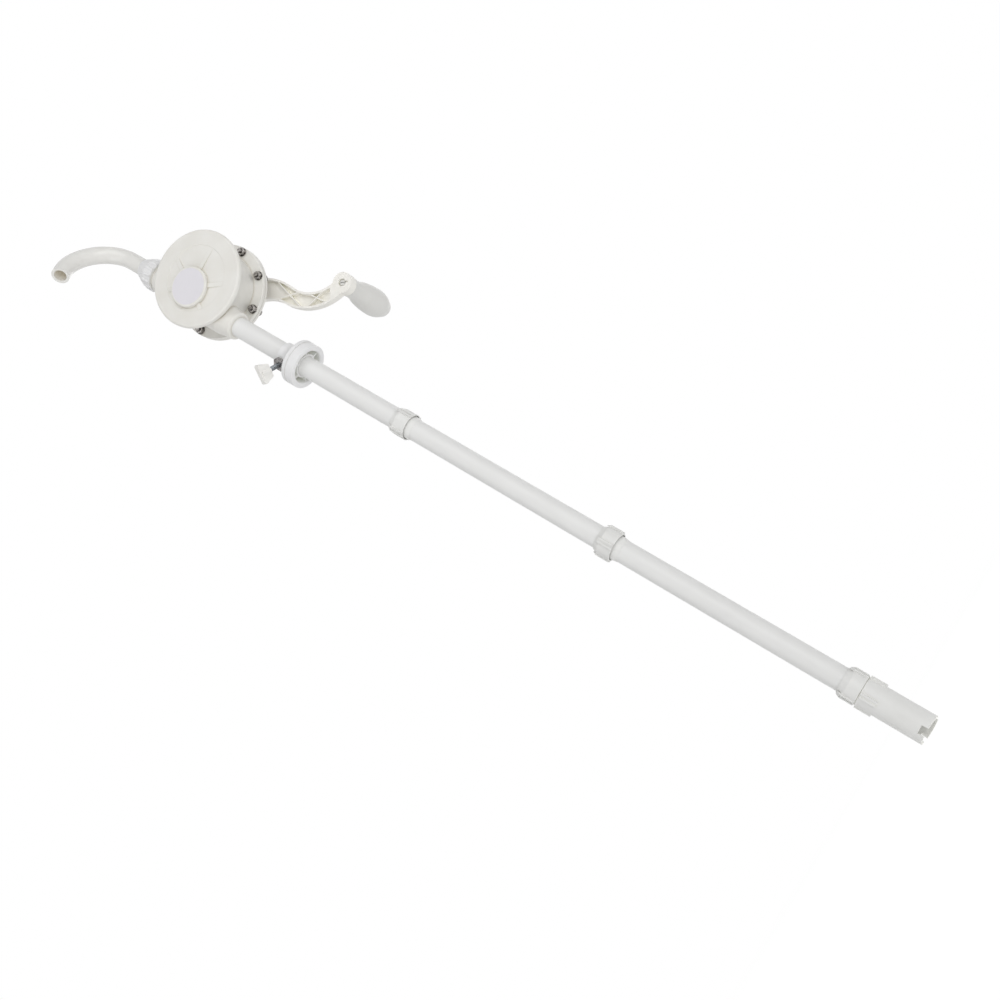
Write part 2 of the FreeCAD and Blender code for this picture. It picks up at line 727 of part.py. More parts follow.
def pump_casing():
    """One-piece casing: round face, flared wall, flange, two port bosses, front boss, ribs."""
    edge_y = d.disc_round + d.disc_edge - d.face_front
    flare_r = d.disc_r - d.disc_back_round
    flare_y = edge_y + d.disc_back_round
    waist_y = d.flange_front - d.waist_length
    rise = flare_r - d.waist_r
    run = waist_y - flare_y
    flare = (rise * rise + run * run) / (2 * rise)
    shell = revolved([
        (0, d.recess_step - d.face_front),
        (d.recess_r, d.recess_step - d.face_front),
        (d.recess_r + 0.5, -d.face_front),
        (d.disc_r - d.disc_round, -d.face_front),
        (d.disc_r, d.disc_round - d.face_front, d.disc_round),
        (d.disc_r, edge_y),
        (flare_r, flare_y, d.disc_back_round),
        (d.waist_r, waist_y, -flare),
        (d.waist_r, d.flange_front),
        (d.flange_r - d.flange_round, d.flange_front),
        (d.flange_r, d.flange_front + d.flange_round, d.flange_round),
        (d.flange_r, FLANGE_BACK),
        (0, FLANGE_BACK),
    ], (CASING_X, 0, HEAD_Z), "Y")
    boss_face = -d.face_front - d.front_boss_height
    boss = revolved([
        (0, boss_face),
        (d.front_boss_r - d.front_boss_round, boss_face),
        (d.front_boss_r, boss_face + d.front_boss_round, d.front_boss_round),
        (d.front_boss_r, 0),
        (0, 0),
    ], (SHAFT_X, 0, HEAD_Z), "Y")
    inlet = revolved([
        (0, -d.inlet_end),
        (d.port_end_r - d.port_round, -d.inlet_end),
        (d.port_end_r, d.port_round - d.inlet_end, d.port_round),
        (d.port_end_r, 5 - d.inlet_end),
        (d.port_root_r, d.port_taper + 5 - d.inlet_end, -90),
        (d.port_root_r, -d.port_root_r),
        (0, -d.port_root_r),
    ], (0, 0, HEAD_Z))
    outlet = revolved([
        (0, d.port_root_r),
        (d.outlet_boss_r, d.port_root_r),
        (d.outlet_boss_r, d.outlet_shoulder - d.port_round),
        (d.outlet_boss_r - d.port_round, d.outlet_shoulder, d.port_round),
        (d.outlet_thread_r, d.outlet_shoulder),
        (d.outlet_thread_r, d.outlet_end - 1),
        (d.outlet_thread_r - 1, d.outlet_end),
        (0, d.outlet_end),
    ], (OUTLET_X, 0, HEAD_Z))
    recess = cylinder(d.recess_r, -boss_face, (CASING_X, boss_face, HEAD_Z), "Y")
    face_ribs = common(fuse(*around(face_rib, d.face_rib_count)), recess)
    tube_seat = cylinder(TUBE_R + d.seat_gap, d.tube_seat + 1, (0, 0, HEAD_Z - d.inlet_end - 1))
    inlet_bore = cylinder(d.port_bore_r, d.inlet_end - d.tube_seat + 0.5,
                          (0, 0, HEAD_Z - d.inlet_end + d.tube_seat - 0.5))
    outlet_bore = cylinder(d.port_bore_r, d.outlet_end + 1, (OUTLET_X, 0, HEAD_Z))
    chamber = cylinder(d.chamber_r, d.chamber_front + FLANGE_BACK + 1,
                       (CASING_X, -d.chamber_front, HEAD_Z), "Y")
    front_recess = cylinder(ROTOR_R + d.free_gap, d.rotor_disc_front + d.free_gap + 1,
                            (SHAFT_X, -d.chamber_front - d.rotor_disc_front - d.free_gap, HEAD_Z),
                            "Y")
    bush_start = -d.chamber_front - d.rotor_disc_front - d.free_gap - d.journal_length
    bush_hole = cylinder(d.journal_r + d.bush_wall + d.seat_gap, d.journal_length + 1,
                         (SHAFT_X, bush_start - d.free_gap, HEAD_Z), "Y")
    holes = bolt_holes(d.flange_front - 1, d.flange_thick + 2)
    solid = fuse(shell, boss, inlet, outlet, face_ribs)
    label_seat = cylinder(d.label_r + d.seat_gap, d.label_thick + 1,
                          (SHAFT_X, boss_face - 1, HEAD_Z), "Y")
    return cut(solid, chamber, front_recess, bush_hole, tube_seat, inlet_bore, outlet_bore,
               label_seat, *holes)


def face_rib(step_angle):
    """A flat rib on the recessed face, highest at the boss and fading out at the rim."""
    angle = as_size(step_angle)
    aside = d.rotor_offset * sin_of(angle)
    start = d.front_boss_r - 1
    end = d.rotor_offset * cos_of(angle) + root(d.recess_r * d.recess_r - aside * aside)
    floor = d.face_front - d.recess_step
    rib = padded([
        (start, floor - 1),
        (end, floor - 1),
        (end, floor + 0.08),
        (start, floor + d.face_rib_height),
    ], d.face_rib_width, (0, -d.face_rib_width / 2, 0))
    upright = moved(rib, turn=(X_AXIS, 90))
    holder = group([upright])
    place(holder, (SHAFT_X, 0, HEAD_Z))
    holder.Placement.Rotation = FreeCAD.Rotation(Y_AXIS, -angle.value)
    bind(holder, "Placement.Rotation.Angle", -angle)
    return holder


HUB_R = ROTOR_R + d.free_gap + d.hub_wall
HUB_CAVITY = COVER_FRONT + d.rotor_disc_rear + d.free_gap
HUB_END = HUB_CAVITY + d.hub_end_wall
NECK_END = HUB_END + d.neck_length


def rear_cover():
    """Flanged cover with a round hub over the rotor's rear disc and a neck for the shaft."""
    plate = revolved([
        (0, COVER_FRONT),
        (d.flange_r, COVER_FRONT),
        (d.flange_r, COVER_BACK - d.flange_round),
        (d.flange_r - d.flange_round, COVER_BACK, d.flange_round),
        (0, COVER_BACK),
    ], (CASING_X, 0, HEAD_Z), "Y")
    hub = revolved([
        (0, COVER_FRONT),
        (HUB_R, COVER_FRONT),
        (HUB_R, HUB_END - d.hub_round),
        (HUB_R - d.hub_round, HUB_END, d.hub_round),
        (d.neck_r + d.hub_round, HUB_END),
        (d.neck_r, HUB_END + d.hub_round, -d.hub_round),
        (d.neck_r, NECK_END - 1),
        (d.neck_r - 1, NECK_END, 1),
        (0, NECK_END),
    ], (SHAFT_X, 0, HEAD_Z), "Y")
    ribs = []
    for step in range(8):
        rib = box(d.flange_r - 8, d.cover_rib_width, HUB_END - COVER_BACK - 2)
        rotation = FreeCAD.Rotation(Y_AXIS, -45.0 * step - 22.5).multiply(
            FreeCAD.Rotation(X_AXIS, -90))
        lift = rotation.multVec(FreeCAD.Vector(0, 1, 0))
        half = d.cover_rib_width / 2
        at = (CASING_X - lift.x * half, COVER_BACK - 1, HEAD_Z - lift.z * half)
        place(rib, at)
        rib.Placement.Rotation = rotation
        ribs.append(rib)
    rim = cylinder(BOLT_CIRCLE_R - d.washer_r - 1, d.flange_r,
                   (CASING_X, COVER_FRONT, HEAD_Z), "Y")
    cavity = cylinder(ROTOR_R + d.free_gap, d.rotor_disc_rear + d.free_gap + 1,
                      (SHAFT_X, COVER_FRONT - 1, HEAD_Z), "Y")
    bush_hole = cylinder(d.journal_r + d.bush_wall + d.seat_gap,
                         NECK_END - HUB_CAVITY + 2, (SHAFT_X, HUB_CAVITY - 1, HEAD_Z), "Y")
    solid = fuse(plate, hub, common(fuse(*ribs), rim))
    return cut(solid, cavity, bush_hole, *bolt_holes(COVER_FRONT - 1, d.cover_thick + 2))


def cover_gasket():
    """Flat gasket between casing and cover, open over the chamber."""
    sheet_ring = ring(d.chamber_r, d.flange_r - 0.4, d.gasket_thick, (CASING_X, FLANGE_BACK, HEAD_Z),
                      "Y")
    return cut(sheet_ring, *bolt_holes(FLANGE_BACK - 1, d.gasket_thick + 2))


def hexagon(across_flats, height, at, angle=0.0):
    """A hexagonal prism along +Y."""
    thing = doc.addObject("Part::Prism", "hexagon")
    thing.Polygon = 6
    bind(thing, "Circumradius", across_flats / math.sqrt(3))
    bind(thing, "Height", height)
    place(thing, at)
    turn = FreeCAD.Rotation(Y_AXIS, angle).multiply(FreeCAD.Rotation(X_AXIS, -90))
    thing.Placement.Rotation = turn
    return thing


def flange_bolt(angle):
    head_y = COVER_BACK + d.washer_thick
    end_y = d.flange_front - d.washer_thick - d.nut_height - d.bolt_end
    x, _, z = bolt_place(angle, 0)
    shank = cylinder(d.bolt_r, head_y - end_y + 1, (x, end_y, z), "Y")
    head = hexagon(d.bolt_head_af, d.bolt_head_height, (x, head_y, z), angle)
    crown = cone(d.bolt_head_af / 2 + 1.4, d.bolt_head_af / 2 - 0.7, d.bolt_head_height,
                 (x, head_y, z), "Y")
    return fuse(shank, common(head, crown))


def flange_nut(angle):
    start = d.flange_front - d.washer_thick - d.nut_height
    at = bolt_place(angle, start)
    x, _, z = at
    crown = cone(d.bolt_head_af / 2 - 0.4, d.bolt_head_af / 2 + 2.4, d.nut_height, at, "Y")
    hole = cylinder(d.bolt_r + d.seat_gap, d.nut_height + 2, (x, start - 1, z), "Y")
    body = hexagon(d.bolt_head_af, d.nut_height, at, angle * 1.7)
    return cut(common(body, crown), hole)


def washers(angle):
    hole_r = d.bolt_r + d.seat_gap
    front_at = bolt_place(angle, d.flange_front - d.washer_thick)
    rear_at = bolt_place(angle, COVER_BACK)
    return [ring(hole_r, d.washer_r, d.washer_thick, at, "Y") for at in (front_at, rear_at)]


def label_disc():
    face = -d.face_front - d.front_boss_height
    return cylinder(d.label_r, d.label_thick, (SHAFT_X, face, HEAD_Z), "Y")


# ---------------------------------------------------------------- rotor, vanes and shaft
ROTOR_FRONT = -d.chamber_front - d.rotor_disc_front
ROTOR_BACK = COVER_FRONT + d.rotor_disc_rear
VANE_FRONT = d.free_gap - d.chamber_front
VANE_BACK = COVER_FRONT - d.free_gap
VANE_END = ROTOR_R - 0.2
SHAFT_END = d.crank_front + d.crank_hub_depth - 1


def rotor():
    """Round rotor with a disc at each end, slotted right through for the two vanes."""
    journal_end = ROTOR_FRONT - d.journal_length
    drum = revolved([
        (0, journal_end),
        (d.journal_r - 0.8, journal_end),
        (d.journal_r, journal_end + 0.8),
        (d.journal_r, ROTOR_FRONT),
        (ROTOR_R - 0.5, ROTOR_FRONT),
        (ROTOR_R, ROTOR_FRONT + 0.5),
        (ROTOR_R, ROTOR_BACK - 0.5),
        (ROTOR_R - 0.5, ROTOR_BACK),
        (0, ROTOR_BACK),
    ], (SHAFT_X, 0, HEAD_Z), "Y")
    width = d.vane_thick + 2 * d.vane_gap
    slot = box(width, COVER_FRONT + d.chamber_front, 2 * ROTOR_R + 2,
               (SHAFT_X - width / 2, -d.chamber_front, HEAD_Z - ROTOR_R - 1))
    key = d.shaft_key + 2 * d.seat_gap
    socket = box(key, d.rotor_disc_rear, key,
                 (SHAFT_X - key / 2, COVER_FRONT + d.key_cover, HEAD_Z - key / 2))
    return cut(drum, slot, socket)


def drive_shaft():
    """Steel shaft: square key in the rotor, round journal, square end for the crank."""
    key = d.shaft_key
    key_start = COVER_FRONT + d.key_cover + d.seat_gap
    inner_key = box(key, ROTOR_BACK - key_start, key,
                    (SHAFT_X - key / 2, key_start, HEAD_Z - key / 2))
    journal = cylinder(d.journal_r, d.crank_front - d.free_gap - ROTOR_BACK,
                       (SHAFT_X, ROTOR_BACK, HEAD_Z), "Y")
    square = d.shaft_square
    end_length = SHAFT_END - d.crank_front + d.free_gap
    tail = box(square, end_length, square, (-square / 2, -d.free_gap, -square / 2))
    tail_round = cylinder(square * 0.62, end_length, (0, -d.free_gap, 0), "Y")
    hole = cylinder(d.screw_r + d.seat_gap, d.screw_depth + 1,
                    (SHAFT_X, SHAFT_END - d.screw_depth, HEAD_Z), "Y")
    return cut(fuse(inner_key, journal, crank_placed(common(tail, tail_round))), hole)


def vane(side):
    """One of two sliding vanes, drawn in, with a rounded tip and wells for the springs."""
    depth = VANE_BACK - VANE_FRONT
    tip_r = d.vane_thick / 2
    length = VANE_END - tip_r - d.vane_inner
    blade = box(d.vane_thick, depth, length, (-tip_r, VANE_FRONT, d.vane_inner))
    tip = cylinder(tip_r, depth, (0, VANE_FRONT, VANE_END - tip_r), "Y")
    wells = [cylinder(d.spring_r + d.free_gap, d.spring_depth + 1, (0, y, d.vane_inner - 1))
             for y in spring_rows()]
    turn = None if side > 0 else (Y_AXIS, 180)
    return moved(cut(fuse(blade, tip), *wells), (SHAFT_X, 0, HEAD_Z), turn)


def spring_rows():
    third = (VANE_BACK - VANE_FRONT) / 3
    return (VANE_FRONT + third / 2, VANE_BACK - third / 2)


def vane_spring(row_y):
    """A pressed coil that reaches from the well of one vane into the well of the other."""
    reach = d.vane_inner + d.spring_depth - d.spring_wire_r - d.free_gap
    coil_r = d.spring_r - d.spring_wire_r
    line = doc.addObject("Part::Helix", "coil_line")
    bind(line, "Radius", coil_r)
    bind(line, "Height", 2 * reach)
    bind(line, "Pitch", 2 * reach / d.spring_coils)
    wire = doc.addObject("Part::Circle", "wire")
    bind(wire, "Radius", d.spring_wire_r)
    place(wire, (coil_r, 0, 0), (X_AXIS, 90))
    coil = doc.addObject("Part::Sweep", "coil")
    coil.Sections = [wire]
    coil.Spine = (line, ["Edge1"])
    coil.Solid = True
    coil.Frenet = True
    return moved(coil, (SHAFT_X, row_y, HEAD_Z - reach))


def bush(start, length):
    inner = d.journal_r + d.running_gap
    return ring(inner, d.journal_r + d.bush_wall, length, (SHAFT_X, start, HEAD_Z), "Y")


# ---------------------------------------------------------------- crank and grip
BOW = d.crank_first
ARM_R = (BOW * BOW / 4 + d.crank_sagitta * d.crank_sagitta) / (2 * d.crank_sagitta)
SECOND = (d.crank_length - BOW) / BOW      # size of the second bow against the first


def s_outline(half):
    """Closed outline of the S-shaped arm along +X of its own plane, wide at the hub.

    The arm is as wide as twice half where its two bows meet.
    """
    lean_x = BOW / 2 / ARM_R
    lean_z = (ARM_R - d.crank_sagitta) / ARM_R
    second_r = SECOND * ARM_R
    wide = half + d.crank_flare
    slim = half - d.crank_taper
    return [
        (-lean_x * wide, lean_z * wide, ARM_R + half),
        (lean_x * wide, -lean_z * wide),
        (BOW - lean_x * half, -lean_z * half, half - ARM_R),
        (d.crank_length + lean_x * slim, -lean_z * slim, second_r + half),
        (d.crank_length - lean_x * slim, lean_z * slim),
        (BOW + lean_x * half, lean_z * half, half - second_r),
    ]


def s_middle(reach):
    """Height of the arm's middle line at a reach from the shaft."""
    if reach.value < BOW.value:
        across = reach - BOW / 2
        return root(ARM_R * ARM_R - across * across) - (ARM_R - d.crank_sagitta)
    across = reach - (BOW + d.crank_length) / 2
    second_r = SECOND * ARM_R
    rise = root(second_r * second_r - across * across)
    return -(rise - (second_r - SECOND * d.crank_sagitta))


def crank_rib(crossing, direction):
    """A rib that runs across the channel from one rim to the other, and a little past them."""
    half = d.crank_width / 2
    first = crossing - d.crank_rib_reach
    last = crossing + d.crank_rib_reach
    first_z = s_middle(first) - direction * half
    last_z = s_middle(last) + direction * half
    climb = last_z - first_z
    run = 2 * d.crank_rib_reach
    length = root(run * run + climb * climb)
    aside_x = climb / length * d.crank_rib_width / 2
    aside_z = run / length * d.crank_rib_width / 2
    past_x = run / 4
    past_z = climb / 4
    corners = [
        (first - past_x + aside_x, first_z - past_z - aside_z),
        (last + past_x + aside_x, last_z + past_z - aside_z),
        (last + past_x - aside_x, last_z + past_z + aside_z),
        (first - past_x - aside_x, first_z - past_z + aside_z),
    ]
    return padded(corners, d.crank_depth - 1.8, (0, 0.8, 0))


def crank_arm():
    """S-shaped channel, open to the pump, with crossed ribs, a square hub and an end boss."""
    half = d.crank_width / 2
    outside = padded(s_outline(half), d.crank_depth)
    inside = padded(s_outline(half - d.crank_wall), d.crank_depth, (0, -d.crank_wall, 0))
    hub = cylinder(d.crank_hub_r, d.crank_hub_depth, along="Y")
    boss = cylinder(d.crank_boss_r, d.crank_boss_depth, (d.crank_length, 0, 0), "Y")
    ribs = []
    for step in range(2):
        crossing = d.crank_rib_last - step * d.crank_rib_pitch
        ribs += [crank_rib(crossing, 1), crank_rib(crossing, -1)]
    solid_end = box(2 * d.crank_solid_end, d.crank_depth, 2 * d.crank_width,
                    (d.crank_length - d.crank_solid_end, 0, -d.crank_width))
    braces = common(fuse(solid_end, *ribs), outside)
    square = d.shaft_square + 2 * d.seat_gap
    key_hole = box(square, d.crank_hub_depth + 2, square, (-square / 2, -1, -square / 2))
    key_round = cylinder(square * 0.62, d.crank_hub_depth + 2, (0, -1, 0), "Y")
    pin_hole = cylinder(d.grip_pin_r + d.running_gap, d.crank_boss_depth + 2,
                        (d.crank_length, -1, 0), "Y")
    snap_seat = cylinder(d.grip_snap_seat_r, d.grip_snap_seat + 1, (d.crank_length, -1, 0), "Y")
    release = box(d.grip_snap_seat_r + 3, d.grip_snap_seat + 1, 1.8, (d.crank_length, -1, -0.9))
    solid = fuse(cut(outside, inside), hub, boss, braces)
    return crank_placed(cut(solid, common(key_hole, key_round), pin_hole, snap_seat, release))


def crank_placed(thing):
    """Carry a thing drawn along +X from the shaft to the crank's place and direction."""
    holder = group([thing])
    turn = FreeCAD.Rotation(Y_AXIS, -d.crank_angle.value)
    at = (SHAFT_X, d.crank_front, HEAD_Z)
    place(holder, at)
    holder.Placement.Rotation = turn
    bind(holder, "Placement.Rotation.Angle", -d.crank_angle)
    return holder


def crank_screw():
    start = d.crank_hub_depth + d.washer_thick
    head = revolved([
        (0, start - d.screw_depth),
        (d.screw_r, start - d.screw_depth),
        (d.screw_r, start),
        (d.screw_head_r, start),
        (d.screw_head_r, start + 1.5),
        (2, start + d.screw_head_height, 12),
        (0, start + d.screw_head_height),
    ], along="Y")
    slot = box(2 * d.screw_head_r + 2, d.screw_head_height, 1.6,
               (-d.screw_head_r - 1, start + d.screw_head_height - 2, -0.8))
    return crank_placed(cut(head, slot))


def crank_washer():
    return crank_placed(ring(d.screw_r + d.seat_gap, d.screw_head_r + 2, d.washer_thick,
                             (0, d.crank_hub_depth, 0), "Y"))


def crank_grip():
    """Egg-shaped grip with its split snap pin through the crank's end boss."""
    base = d.crank_boss_depth + d.free_gap
    neck_run = d.grip_waist_at
    swell = d.grip_max_r - d.grip_shoulder_r
    swell_run = d.grip_max_at - d.grip_shoulder_at
    swell_r = (swell * swell + swell_run * swell_run) / (2 * swell)
    fall = d.grip_max_r - d.grip_end_r
    fall_run = d.grip_end_at - d.grip_max_at
    fall_r = (fall * fall + fall_run * fall_run) / (2 * fall)
    cap = d.grip_length - d.grip_end_at
    cap_r = (d.grip_end_r * d.grip_end_r + cap * cap) / (2 * cap)
    snap = d.grip_snap_seat - d.free_gap
    handle = revolved([
        (0, snap - d.grip_snap_height),
        (d.grip_pin_r - 1, snap - d.grip_snap_height),
        (d.grip_snap_r, snap - 0.6),
        (d.grip_snap_r, snap),
        (d.grip_pin_r, snap),
        (d.grip_pin_r, base),
        (d.grip_base_r - 1, base),
        (d.grip_base_r, base + 1, 1),
        (d.grip_waist_r, base + neck_run, -90),
        (d.grip_shoulder_r, base + d.grip_shoulder_at, -75),
        (d.grip_max_r, base + d.grip_max_at, swell_r),
        (d.grip_end_r, base + d.grip_end_at, fall_r),
        (0, base + d.grip_length, cap_r),
    ], (d.crank_length, 0, 0), "Y")
    slit = box(2 * d.grip_snap_r + 2, d.crank_boss_depth * 0.7, d.grip_slit,
               (d.crank_length - d.grip_snap_r - 1, snap - d.grip_snap_height - 1,
                -d.grip_slit / 2))
    return crank_placed(cut(handle, slit))


# ---------------------------------------------------------------- spout and union nut
SEAL_Z = HEAD_Z + d.outlet_end
BEAD_Z = SEAL_Z + d.spout_seal_thick
BEND_Z = HEAD_Z + d.spout_rise


def bent_rod(radius, start_z, extra):
    """Straight rise, bend and straight tip in the plane of +X, ready to be turned."""
    rise = cylinder(radius, BEND_Z - start_z, (0, 0, start_z))
    bend = doc.addObject("Part::Torus", "bend")
    bind(bend, "Radius1", d.spout_bend_r)
    bind(bend, "Radius2", radius)
    bind(bend, "Angle3", d.spout_bend)
    bend_turn = FreeCAD.Rotation(FreeCAD.Vector(-1, 0, 0), FreeCAD.Vector(0, 0, 1),
                                 FreeCAD.Vector(0, 1, 0), "XZY")
    place(bend, (d.spout_bend_r, 0, BEND_Z))
    bend.Placement.Rotation = bend_turn
    tip = cylinder(radius, d.spout_tip + extra)
    swing = group([tip])
    along_x = d.spout_bend_r - d.spout_bend_r * cos_of(d.spout_bend)
    along_z = d.spout_bend_r * sin_of(d.spout_bend)
    place(swing, (along_x, 0, BEND_Z + along_z))
    swing.Placement.Rotation = FreeCAD.Rotation(Y_AXIS, d.spout_bend.value)
    bind(swing, "Placement.Rotation.Angle", d.spout_bend)
    return fuse(rise, bend, swing)


def spout_pipe():
    """Bent outlet pipe with a bead at its lower end, which the union nut holds down."""
    radius = d.spout_od / 2
    outer = bent_rod(radius, BEAD_Z, as_size(0))
    bead = revolved([
        (radius - 1, 0),
        (d.spout_bead_r, 0),
        (d.spout_bead_r, d.spout_bead_thick - 1),
        (d.spout_bead_r - 1, d.spout_bead_thick, 1),
        (radius - 1, d.spout_bead_thick),
    ], (0, 0, BEAD_Z))
    bore = bent_rod(radius - d.spout_wall, BEAD_Z - 1, as_size(1))
    swivelled = turned_about_tube(cut(fuse(outer, bead), bore), d.spout_angle)
    return moved(swivelled, (OUTLET_X, 0, 0))


def spout_seal():
    inner = d.spout_od / 2 - d.spout_wall + 1
    height = d.spout_seal_thick - 2 * d.seat_gap
    return ring(inner, d.outlet_thread_r - 1, height, (OUTLET_X, 0, SEAL_Z + d.seat_gap))


def union_nut():
    """Ribbed nut, straight below and tapered above, that holds the spout's bead."""
    start = HEAD_Z + d.nut_start
    bead_top = BEAD_Z + d.spout_bead_thick + d.free_gap - start
    cavity_r = d.outlet_thread_r + d.running_gap
    hole_r = d.spout_od / 2 + d.free_gap
    shell = revolved([
        (cavity_r, 0),
        (d.nut_body_r - 1, 0),
        (d.nut_body_r, 1, 1),
        (d.nut_body_r, d.nut_straight),
        (d.nut_top_r, d.nut_length - 1.5, 90),
        (d.nut_top_r - 1.5, d.nut_length, 1.5),
        (hole_r, d.nut_length),
        (hole_r, bead_top),
        (cavity_r, bead_top),
    ], (OUTLET_X, 0, start))
    ribs = []
    for angle in around(lambda a: a, d.nut_rib_count):
        sized = as_size(angle)
        reach = d.nut_body_r + d.nut_rib_height - d.nut_rib_r
        rib = cylinder(d.nut_rib_r, d.nut_straight + 8,
                       (OUTLET_X + reach * cos_of(sized), reach * sin_of(sized), start + 0.5))
        ribs.append(rib)
    envelope = revolved([
        (d.nut_body_r - 1.2, 0),
        (d.nut_body_r + d.nut_rib_height, 0),
        (d.nut_body_r + d.nut_rib_height, d.nut_straight),
        (d.nut_top_r + 1, d.nut_length - 3),
        (d.nut_top_r - 1, d.nut_length - 3),
        (d.nut_body_r - 1.2, d.nut_straight),
    ], (OUTLET_X, 0, start))
    return fuse(shell, common(fuse(*ribs), envelope))


# ---------------------------------------------------------------- the pieces
node("bung_adapter", bung_adapter())
node("clamp_nut", clamp_nut())
node("clamp_screw", clamp_screw())
node("clamp_knob", clamp_knob())

node("pump_casing", pump_casing())
node("label_disc", label_disc())
node("cover_gasket", cover_gasket())
node("rear_cover", rear_cover())
node("flange_bolts", group(around(flange_bolt, d.bolt_count)))
node("flange_nuts", group(around(flange_nut, d.bolt_count)))
node("flange_washers", group(sum(around(washers, d.bolt_count), [])))
node("shaft_bush_front", bush(ROTOR_FRONT - d.journal_length, d.journal_length - d.free_gap))
node("shaft_bush_rear", bush(HUB_CAVITY, NECK_END - HUB_CAVITY - d.seal_thick - d.free_gap))
node("shaft_seal", bush(NECK_END - d.seal_thick, d.seal_thick - d.free_gap))

TUBE_NAMES = ("suction_tube_upper", "suction_tube_middle", "suction_tube_lower")
SOCKET_NAMES = ("coupling_socket_upper", "coupling_socket_middle", "coupling_socket_lower")
COLLAR_NAMES = ("coupling_collar_upper", "coupling_collar_middle")
SOCKETS = (
    (d.socket_length, d.socket_cone, (45, 135, 225, 315)),
    (d.socket_length, d.socket_cone, (84, 174, 264, 354)),
    (d.last_socket_length, d.last_socket_cone, (94, 214, 334)),
)
tube_top = HEAD_Z - d.inlet_end + d.tube_seat - d.seat_gap
for index, joint in enumerate(JOINTS):
    tube_bottom = joint + d.thread_length + d.free_gap + d.seat_gap
    node(TUBE_NAMES[index], tube(tube_top, tube_bottom))
    node(SOCKET_NAMES[index], coupling_socket(joint, *SOCKETS[index]))
    tube_top = joint + d.thread_length
for index, name in enumerate(COLLAR_NAMES):
    node(name, coupling_collar(JOINTS[index]))
node("foot_housing", foot_housing())
node("foot_valve_ball", foot_valve_ball())
node("foot_strainer", foot_strainer())

node("rotor", rotor())
node("drive_shaft", drive_shaft())
node("vane_upper", vane(1))
node("vane_lower", vane(-1))
node("vane_springs", group([vane_spring(y) for y in spring_rows()]))

node("crank_arm", crank_arm())
node("crank_washer", crank_washer())
node("crank_screw", crank_screw())
node("crank_grip", crank_grip())

node("union_nut", union_nut())
node("spout_seal", spout_seal())
node("spout_pipe", spout_pipe())

# ---------------------------------------------------------------- check and write
doc.recompute()
for thing in doc.Objects:
    if "Invalid" in thing.State or "Error" in thing.State:
        raise RuntimeError(f"{thing.Label} failed: {thing.State}")
os.makedirs("parts", exist_ok=True)
for thing in NODES:
    shape = thing.Shape
    if shape.isNull() or not shape.isValid() or not shape.Solids:
        raise RuntimeError(f"{thing.Label} has no valid solid")
    shape.exportStep(f"parts/{thing.Label}.step")
    size = shape.BoundBox
    print(f"{thing.Label:24s} {len(shape.Solids):3d} solids {shape.Volume / 1000:9.2f} cm3  "
          f"x {size.XMin:8.1f} {size.XMax:8.1f}  y {size.YMin:7.1f} {size.YMax:7.1f}  "
          f"z {size.ZMin:8.1f} {size.ZMax:8.1f}")
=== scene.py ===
# %% [markdown]
# # A rotary hand pump for drums
# The pump is a round plastic head on a long jointed suction tube. A bent spout leaves the
# head, an S-shaped crank stands behind it, and a bung adapter slides on the tube. The solid
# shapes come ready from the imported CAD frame, so this lesson dresses them: it sets up the
# camera and a plain studio, makes each finish out of shader nodes, and adds the fine pieces
# that a solid model leaves out, such as the screw threads.

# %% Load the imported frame
import math

import bpy
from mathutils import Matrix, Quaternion, Vector


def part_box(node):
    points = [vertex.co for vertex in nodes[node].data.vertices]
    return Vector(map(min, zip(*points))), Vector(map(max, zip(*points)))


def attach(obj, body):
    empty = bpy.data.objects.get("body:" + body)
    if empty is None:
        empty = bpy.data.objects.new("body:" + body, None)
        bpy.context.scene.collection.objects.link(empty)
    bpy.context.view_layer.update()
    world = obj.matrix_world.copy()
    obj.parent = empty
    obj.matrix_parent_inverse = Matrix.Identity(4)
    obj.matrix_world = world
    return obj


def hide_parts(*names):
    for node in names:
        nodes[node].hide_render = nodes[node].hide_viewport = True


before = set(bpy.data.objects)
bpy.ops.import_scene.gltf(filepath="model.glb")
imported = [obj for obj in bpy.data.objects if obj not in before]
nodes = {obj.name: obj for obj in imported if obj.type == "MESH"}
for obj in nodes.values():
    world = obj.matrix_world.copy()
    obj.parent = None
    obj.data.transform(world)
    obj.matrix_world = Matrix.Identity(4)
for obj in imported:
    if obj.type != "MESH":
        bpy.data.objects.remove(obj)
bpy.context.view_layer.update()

# %% [markdown]
# ## Units
# Blender works in metres here. Writing every small length as a multiple of one millimetre
# keeps the numbers readable.

# %% One millimetre, and the floor just below the foot
MM = 0.001
FLOOR_HEIGHT = -857.6 * MM

# %% [markdown]
# ## Camera
# The photograph looks up along the tube from beside its foot, with the camera rolled so that
# the tube crosses the picture from top left to bottom right. The camera is placed, aimed at a
# point on the tube, and then rolled about its own line of sight.

# %% Camera
CAMERA_PLACE = Vector((0.065955, -1.190895, -0.816008))
CAMERA_TARGET = Vector((-0.021610, 0.010842, -0.327992))
CAMERA_ROLL = math.radians(-59.3288)
CAMERA_LENS = 39.6

camera_data = bpy.data.cameras.new("camera")
camera_data.sensor_width = 36
camera_data.lens = CAMERA_LENS
camera_data.clip_start = 0.01
camera_data.clip_end = 50
camera = bpy.data.objects.new("camera", camera_data)
bpy.context.scene.collection.objects.link(camera)
line_of_sight = CAMERA_TARGET - CAMERA_PLACE
aimed = line_of_sight.to_track_quat("-Z", "Y")
camera.rotation_mode = "QUATERNION"
camera.rotation_quaternion = aimed @ Quaternion((0, 0, 1), CAMERA_ROLL)
camera.location = CAMERA_PLACE
bpy.context.scene.camera = camera
bpy.context.scene.view_settings.view_transform = "Standard"
print("camera", [round(v, 3) for v in CAMERA_PLACE], "lens", camera_data.lens)

